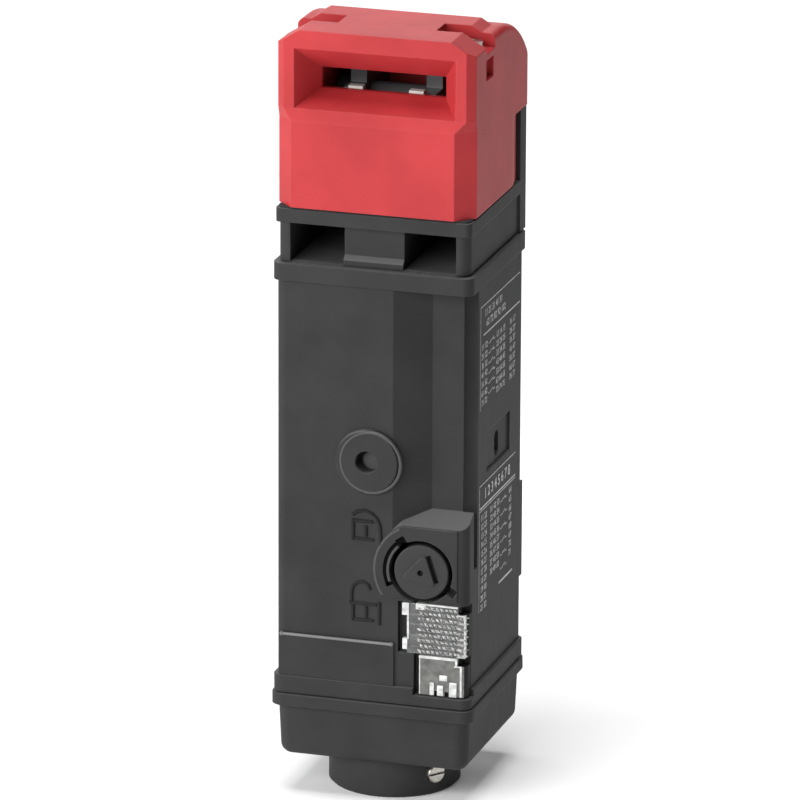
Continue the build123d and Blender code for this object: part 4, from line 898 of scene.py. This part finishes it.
# %% [markdown]
# The release key sits in a bayonet: beside its round gap, a narrow slot runs from
# the upper notch down the left side. It is drawn as a flat band painted near black,
# a painted shade for the depth of the slot, a hair proud of the boss, beside a slim
# raised lip.

# %% Bayonet slot and lip
key_centre = (12.5, 59.6)
boss_y = -20.2


def band(builder, inner, outer, start, end, rise, steps=24):
    """Flat ring sector round the release key, in millimetres and degrees."""
    outline = turn_points(key_centre, inner, start, end, steps)
    outline += turn_points(key_centre, outer, end, start, steps)
    rings = []
    for y in (boss_y - rise, boss_y + 0.2):
        rings.append([builder.verts.new((x * MM, y * MM, z * MM)) for x, z in outline])
    sleeve(builder, rings)


gap = bmesh.new()
band(gap, 8.6, 9.5, 118, 207, rise=0.03)
band(gap, 7.85, 9.45, 201.5, 207, rise=0.03, steps=4)
# Painted shade: the slot is a flat near-black band, not a cut.
finished("bayonet_slot", gap, "gap_black")

lip = bmesh.new()
band(lip, 7.95, 8.55, 134, 200, rise=0.16)
# Painted highlight: the lip is lighter than the black plastic.
finished("bayonet_lip", lip, "hole_plastic")

# %% [markdown]
# The round boss with the blind hole and the boss of the key have soft outer edges
# that catch the light from the upper left. Each gets a skirt: a quarter round swept
# along the edge. The floor of the blind hole is a pad that is set into it, painted
# lighter than the black plastic as painted light on that floor.

# %% Soft edges of the bosses
def skirt(builder, centre, radius, round_size, face_y, start, end, steps=48):
    """Quarter round along a boss edge, in millimetres and degrees."""
    tuck, proud_out, proud_front = 0.3, 0.03, 0.02
    inner = radius - round_size
    section = [(inner - tuck, face_y + tuck), (inner - tuck, face_y - proud_front)]
    for i in range(6):
        angle = math.radians(90 - 18 * i)
        out = inner + (round_size + proud_out) * math.cos(angle)
        y = face_y + round_size - (round_size + proud_front) * math.sin(angle)
        section.append((out, y))
    section.append((radius + proud_out, face_y + round_size + tuck))
    whole = end - start >= 360
    rings = []
    for k in range(steps if whole else steps + 1):
        angle = math.radians(start + (end - start) * k / steps)
        across, up = math.cos(angle), math.sin(angle)
        ring = [(centre[0] + r * across, y, centre[1] + r * up) for r, y in section]
        rings.append([builder.verts.new(Vector(place) * MM) for place in ring])
    sleeve(builder, rings, closed=whole)


disc_centre = (-0.05, 86.0)
disc_y = -20.9
disc_edge = bmesh.new()
skirt(disc_edge, disc_centre, 7.9, 0.4, disc_y, 0, 360)
finished("disc_edge", disc_edge, "rim_plastic")

boss_edge = bmesh.new()
skirt(boss_edge, key_centre, 12.0, 0.3, boss_y, 118, 214)
finished("boss_edge", boss_edge, "rim_plastic")

# %% [markdown]
# The pad is a stack of three rings: its foot, its shoulder, and a slightly smaller
# top. Each ring has 24 points, 15 degrees apart.

# %% Pad in the blind hole
pad_radius = 2.55
pad = bmesh.new()
pad_rings = []
for y, share in ((-17.4, 1.0), (-18.4, 1.0), (-18.7, 0.86)):
    circle = turn_points(disc_centre, pad_radius * share, 0, 345, 23)
    pad_rings.append([pad.verts.new(Vector((x, y, z)) * MM) for x, z in circle])
sleeve(pad, pad_rings)
# Painted light: the pad is lighter than the black plastic, for the light on the floor of the hole.
finished("disc_hole_pad", pad, "hole_plastic")

# %% [markdown]
# Inside the hub's bore runs the thread for the conduit. Its ridges are rings of low
# height, evenly spaced at about the thread's pitch. A tree sets one ring after the
# other along the bore, and every ring is a small circle swept round a large one.

# %% Conduit thread
def thread_tree():
    defaults = {"Radius": 10 * MM, "Pitch": 1 * MM, "Ridge": 0.3 * MM}
    graph, size = new_tree("thread_rings", {**defaults, "Turns": 6})
    offset = graph.node("ShaderNodeCombineXYZ", None, {"Z": size["Pitch"]})
    line = graph.node(
        "GeometryNodeMeshLine", {"mode": "OFFSET"}, {"Count": size["Turns"], "Offset": offset}
    )
    circle = "GeometryNodeCurvePrimitiveCircle"
    ring = graph.node(circle, None, {"Resolution": 64, "Radius": size["Radius"]})
    profile = graph.node(circle, None, {"Resolution": 6, "Radius": size["Ridge"]})
    swept = graph.node("GeometryNodeCurveToMesh", None, {"Curve": ring, "Profile Curve": profile})
    copies = graph.node("GeometryNodeInstanceOnPoints", None, {"Points": line, "Instance": swept})
    return close_tree(graph, copies, "black_plastic")


thread_sizes = {"Radius": 9.25 * MM, "Pitch": 1.41 * MM, "Ridge": 0.38 * MM, "Turns": 8}
first_ring = Matrix.Translation((0, 0, 1.1 * MM))
grown(thread_tree(), "conduit_thread", thread_sizes, first_ring)

# %% [markdown]
# The right side carries fine light print: rules, contact symbols and plain terminal
# numbers. Bars are thin boxes on the side's plane, and numbers are text objects made
# into meshes before they are put in place.

# %% Bars, symbols and numbers
side_x = 24.0
ink_rise = 0.03
half_line = 0.12


def ink_bar(builder, y_low, y_high, z_low, z_high, tilt=0.0):
    """Thin printed bar in millimetres, tilted about its own middle."""
    middle_y, middle_z = (y_low + y_high) / 2, (z_low + z_high) / 2
    spin = Matrix.Rotation(math.radians(tilt), 3, "X")
    for vertex in bmesh.ops.create_cube(builder, size=1.0)["verts"]:
        flat = spin @ Vector((0, vertex.co.y * (y_high - y_low), vertex.co.z * (z_high - z_low)))
        height = ink_rise if vertex.co.x > 0 else -ink_rise
        vertex.co = Vector((side_x + height, middle_y + flat.y, middle_z + flat.z)) * MM


def contact_symbol(builder, y, z, closed):
    """One contact: two leads and the moving blade between them."""
    ink_bar(builder, y, y + 1.6, z - half_line, z + half_line)
    ink_bar(builder, y + 3.9, y + 5.5, z - half_line, z + half_line)
    ink_bar(builder, y + 1.6, y + 4.0, z + 0.2, z + 0.45, tilt=6 if closed else 16)
    if closed:
        ink_bar(builder, y + 3.8, y + 4.05, z - 0.1, z + 0.8)


def numbers(name, entries, finish):
    """Plain numbers as one thin piece: text, Y, Z and height in millimetres."""
    builder = bmesh.new()
    for text, y, z, height in entries:
        curve = bpy.data.curves.new(name, "FONT")
        curve.body = text
        curve.size = height * MM
        curve.extrude = ink_rise * MM / 2
        curve.offset = 0.018 * height * MM
        curve.resolution_u = 3
        curve.align_x = "CENTER"
        curve.align_y = "CENTER"
        writer = linked(name + "_text", curve)
        mesh = plain_mesh(writer)
        bpy.data.objects.remove(writer)
        onto_side = ((0, 0, 1, side_x * MM), (1, 0, 0, y * MM), (0, 1, 0, z * MM), (0, 0, 0, 1))
        mesh.transform(Matrix(onto_side))
        builder.from_mesh(mesh)
        bpy.data.meshes.remove(mesh)
    finished(name, builder, finish)


print("print helpers ready")

# %% [markdown]
# The print stands in two blocks, each under its own rule, with a line down its left
# edge. Six contact symbols stand in each block. The upper block has two heading
# rows and seven rows in three columns. The lower one has a large heading and eleven
# rows, and only its first eight rows have all three columns.

# %% The two printed blocks
upper_left, upper_right, upper_top = -10.3, 22.4, 123.6
lower_left, lower_right, lower_top = -10.3, 19.6, 79.1
upper_foot, lower_foot = 98.0, 47.5
line_width = 0.14
rules = bmesh.new()
for y_low, y_high, z_low, z_high in (
    (upper_left, upper_right, upper_top - 0.22, upper_top),
    (upper_left + 2.5, upper_right, upper_top - 7.6, upper_top - 7.25),
    (lower_left, lower_right, lower_top - 0.22, lower_top),
    (lower_left, lower_right, lower_top - 6.0, lower_top - 5.6),
    (lower_left, lower_right, lower_top - 6.6, lower_top - 6.4),
    (upper_left, upper_left + line_width, upper_foot, upper_top),
    (lower_left, lower_left + line_width, lower_foot, lower_top),
    (6.4, 17.6, 49.6, 50.1),
):
    ink_bar(rules, y_low, y_high, z_low, z_high)
finished("side_rules", rules, "rule_ink")

symbols = bmesh.new()
for row in range(6):
    contact_symbol(symbols, -3.6, 113.0 - 2.5 * row, row % 3 != 2)
    contact_symbol(symbols, 7.4, 70.0 - 3.4 * row, row % 2 == 0)
finished("side_symbols", symbols, "print_ink")

upper_size, lower_size = 2.1, 2.2
entries = []
for row in range(2):
    text = " ".join(f"{5 * row + i + 1}{row + 1}" for i in range(5))
    entries.append((text, 0.5 + 2.0 * row, 121.2 - 2.7 * row, 2.4))
for row in range(7):
    z = 113.2 - 2.3 * row
    entries.append((f"{row + 1}1 {row + 1}2", -6.9, z, upper_size))
    entries.append((f"{row + 1}3 {row + 1}4 {row + 1}5", 6.6, z, upper_size))
    entries.append((f"{row + 1}6 {row + 1}7", 16.4, z, upper_size))
for row in range(11):
    z = 70.6 - 2.25 * row
    entries.append((f"{row + 11} {row + 22}", -6.4, z, lower_size))
    if row < 8:
        entries.append((f"{row + 31} {row + 42} {row + 53}", 2.6, z, lower_size))
        entries.append((f"{row + 64}", 15.6, z, lower_size))
numbers("side_numbers", entries, "print_ink")
numbers("side_heading", [("1 2 3 4 5 6 7 8", 4.6, 76.0, 3.6)], "rule_ink")

# %% [markdown]
# The camera stands far away with a long lens, as in the photograph, where upright
# edges stay parallel. It stands 17 degrees to the right and 17 degrees up, and
# looks at a point half way up the switch, so no shift is needed. The photograph
# leans by a quarter of a degree, and the camera is rolled by as much.

# %% Camera
def towards(turn, rise):
    """Direction from the switch, turned to its right and raised, in radians."""
    level = math.cos(rise)
    return Vector((math.sin(turn) * level, -math.cos(turn) * level, math.sin(rise)))


camera_turn = math.radians(17.15)
camera_rise = math.radians(17.1)
camera_roll = math.radians(0.25)
camera_distance = 2.0
frame_pixels = 800
focal_pixels = 8350
camera_target = Vector((0.00082, 0.00025, 0.09556))
towards_camera = towards(camera_turn, camera_rise)
eye = bpy.data.cameras.new("camera")
eye.sensor_width = 36.0
eye.lens = eye.sensor_width * focal_pixels / frame_pixels
eye.clip_end = 50.0
camera = linked("camera", eye)
camera.location = camera_target + towards_camera * camera_distance
level = (-towards_camera).to_track_quat("-Z", "Y").to_matrix().to_4x4()
camera.rotation_euler = (level @ Matrix.Rotation(camera_roll, 4, "Z")).to_euler()
bpy.context.scene.camera = camera
print("camera at", [round(part, 3) for part in camera.location], "lens", round(eye.lens, 1))

# %% [markdown]
# A pale floor and a few large soft lights make the plain studio light of a product
# photograph. The front is lit from the left, the top gets the most light, and the
# slanted faces that look to the right stay dark, so no light stands there.

# %% Floor
reach = 6.0
floor_corners = [(-reach, -reach, 0), (reach, -reach, 0), (reach, reach, 0), (-reach, reach, 0)]
floor_mesh = bpy.data.meshes.new("floor")
floor_mesh.from_pydata(floor_corners, [], [(0, 1, 2, 3)])
floor = linked("floor", floor_mesh)
floor_finish = Finish("floor_paint")
floor_clouds = floor_finish.noise(0.5)
floor_finish.shade(
    {
        "Base Color": floor_finish.blend(floor_clouds, grey(0.90), grey(0.93)),
        "Roughness": 0.9,
        "Specular IOR Level": 0.1,
        "Emission Color": grey(1.0),
        "Emission Strength": 0.1,
    }
)
floor_mesh.materials.append(finishes["floor_paint"])

# %% [markdown]
# Each light is a square that faces a point about half way up the switch. Its place is
# given by a turn and a rise in degrees and a distance in metres, then come its size
# in metres and its power in watts. The world adds a trace of cool light.

# %% Lights
middle_of_switch = Vector((0, 0, 0.1))


def softbox(name, turn, rise, distance, size, power):
    """Square soft light that faces the middle of the switch."""
    lamp = bpy.data.lights.new(name, "AREA")
    lamp.shape = "SQUARE"
    lamp.size = size
    lamp.energy = power
    holder = linked(name, lamp)
    way = towards(math.radians(turn), math.radians(rise))
    holder.location = middle_of_switch + way * distance
    holder.rotation_euler = (-way).to_track_quat("-Z", "Y").to_euler()
    holder.visible_camera = False
    print(name, "power:", power)


softbox("left_light", -50, 15, 1.6, 0.9, 20)
softbox("front_light", -12, 25, 1.6, 0.9, 14)
softbox("top_light", 0, 86, 1.6, 0.9, 25)
softbox("rear_light", 196, 22, 1.6, 1.2, 8)

world = bpy.data.worlds.new("studio")
bpy.context.scene.world = world
world.use_nodes = True
background = world.node_tree.nodes["Background"].inputs
background["Color"].default_value = rgb(0.95, 0.97, 1.0)
background["Strength"].default_value = 0.03
bpy.context.scene.view_settings.view_transform = "Standard"
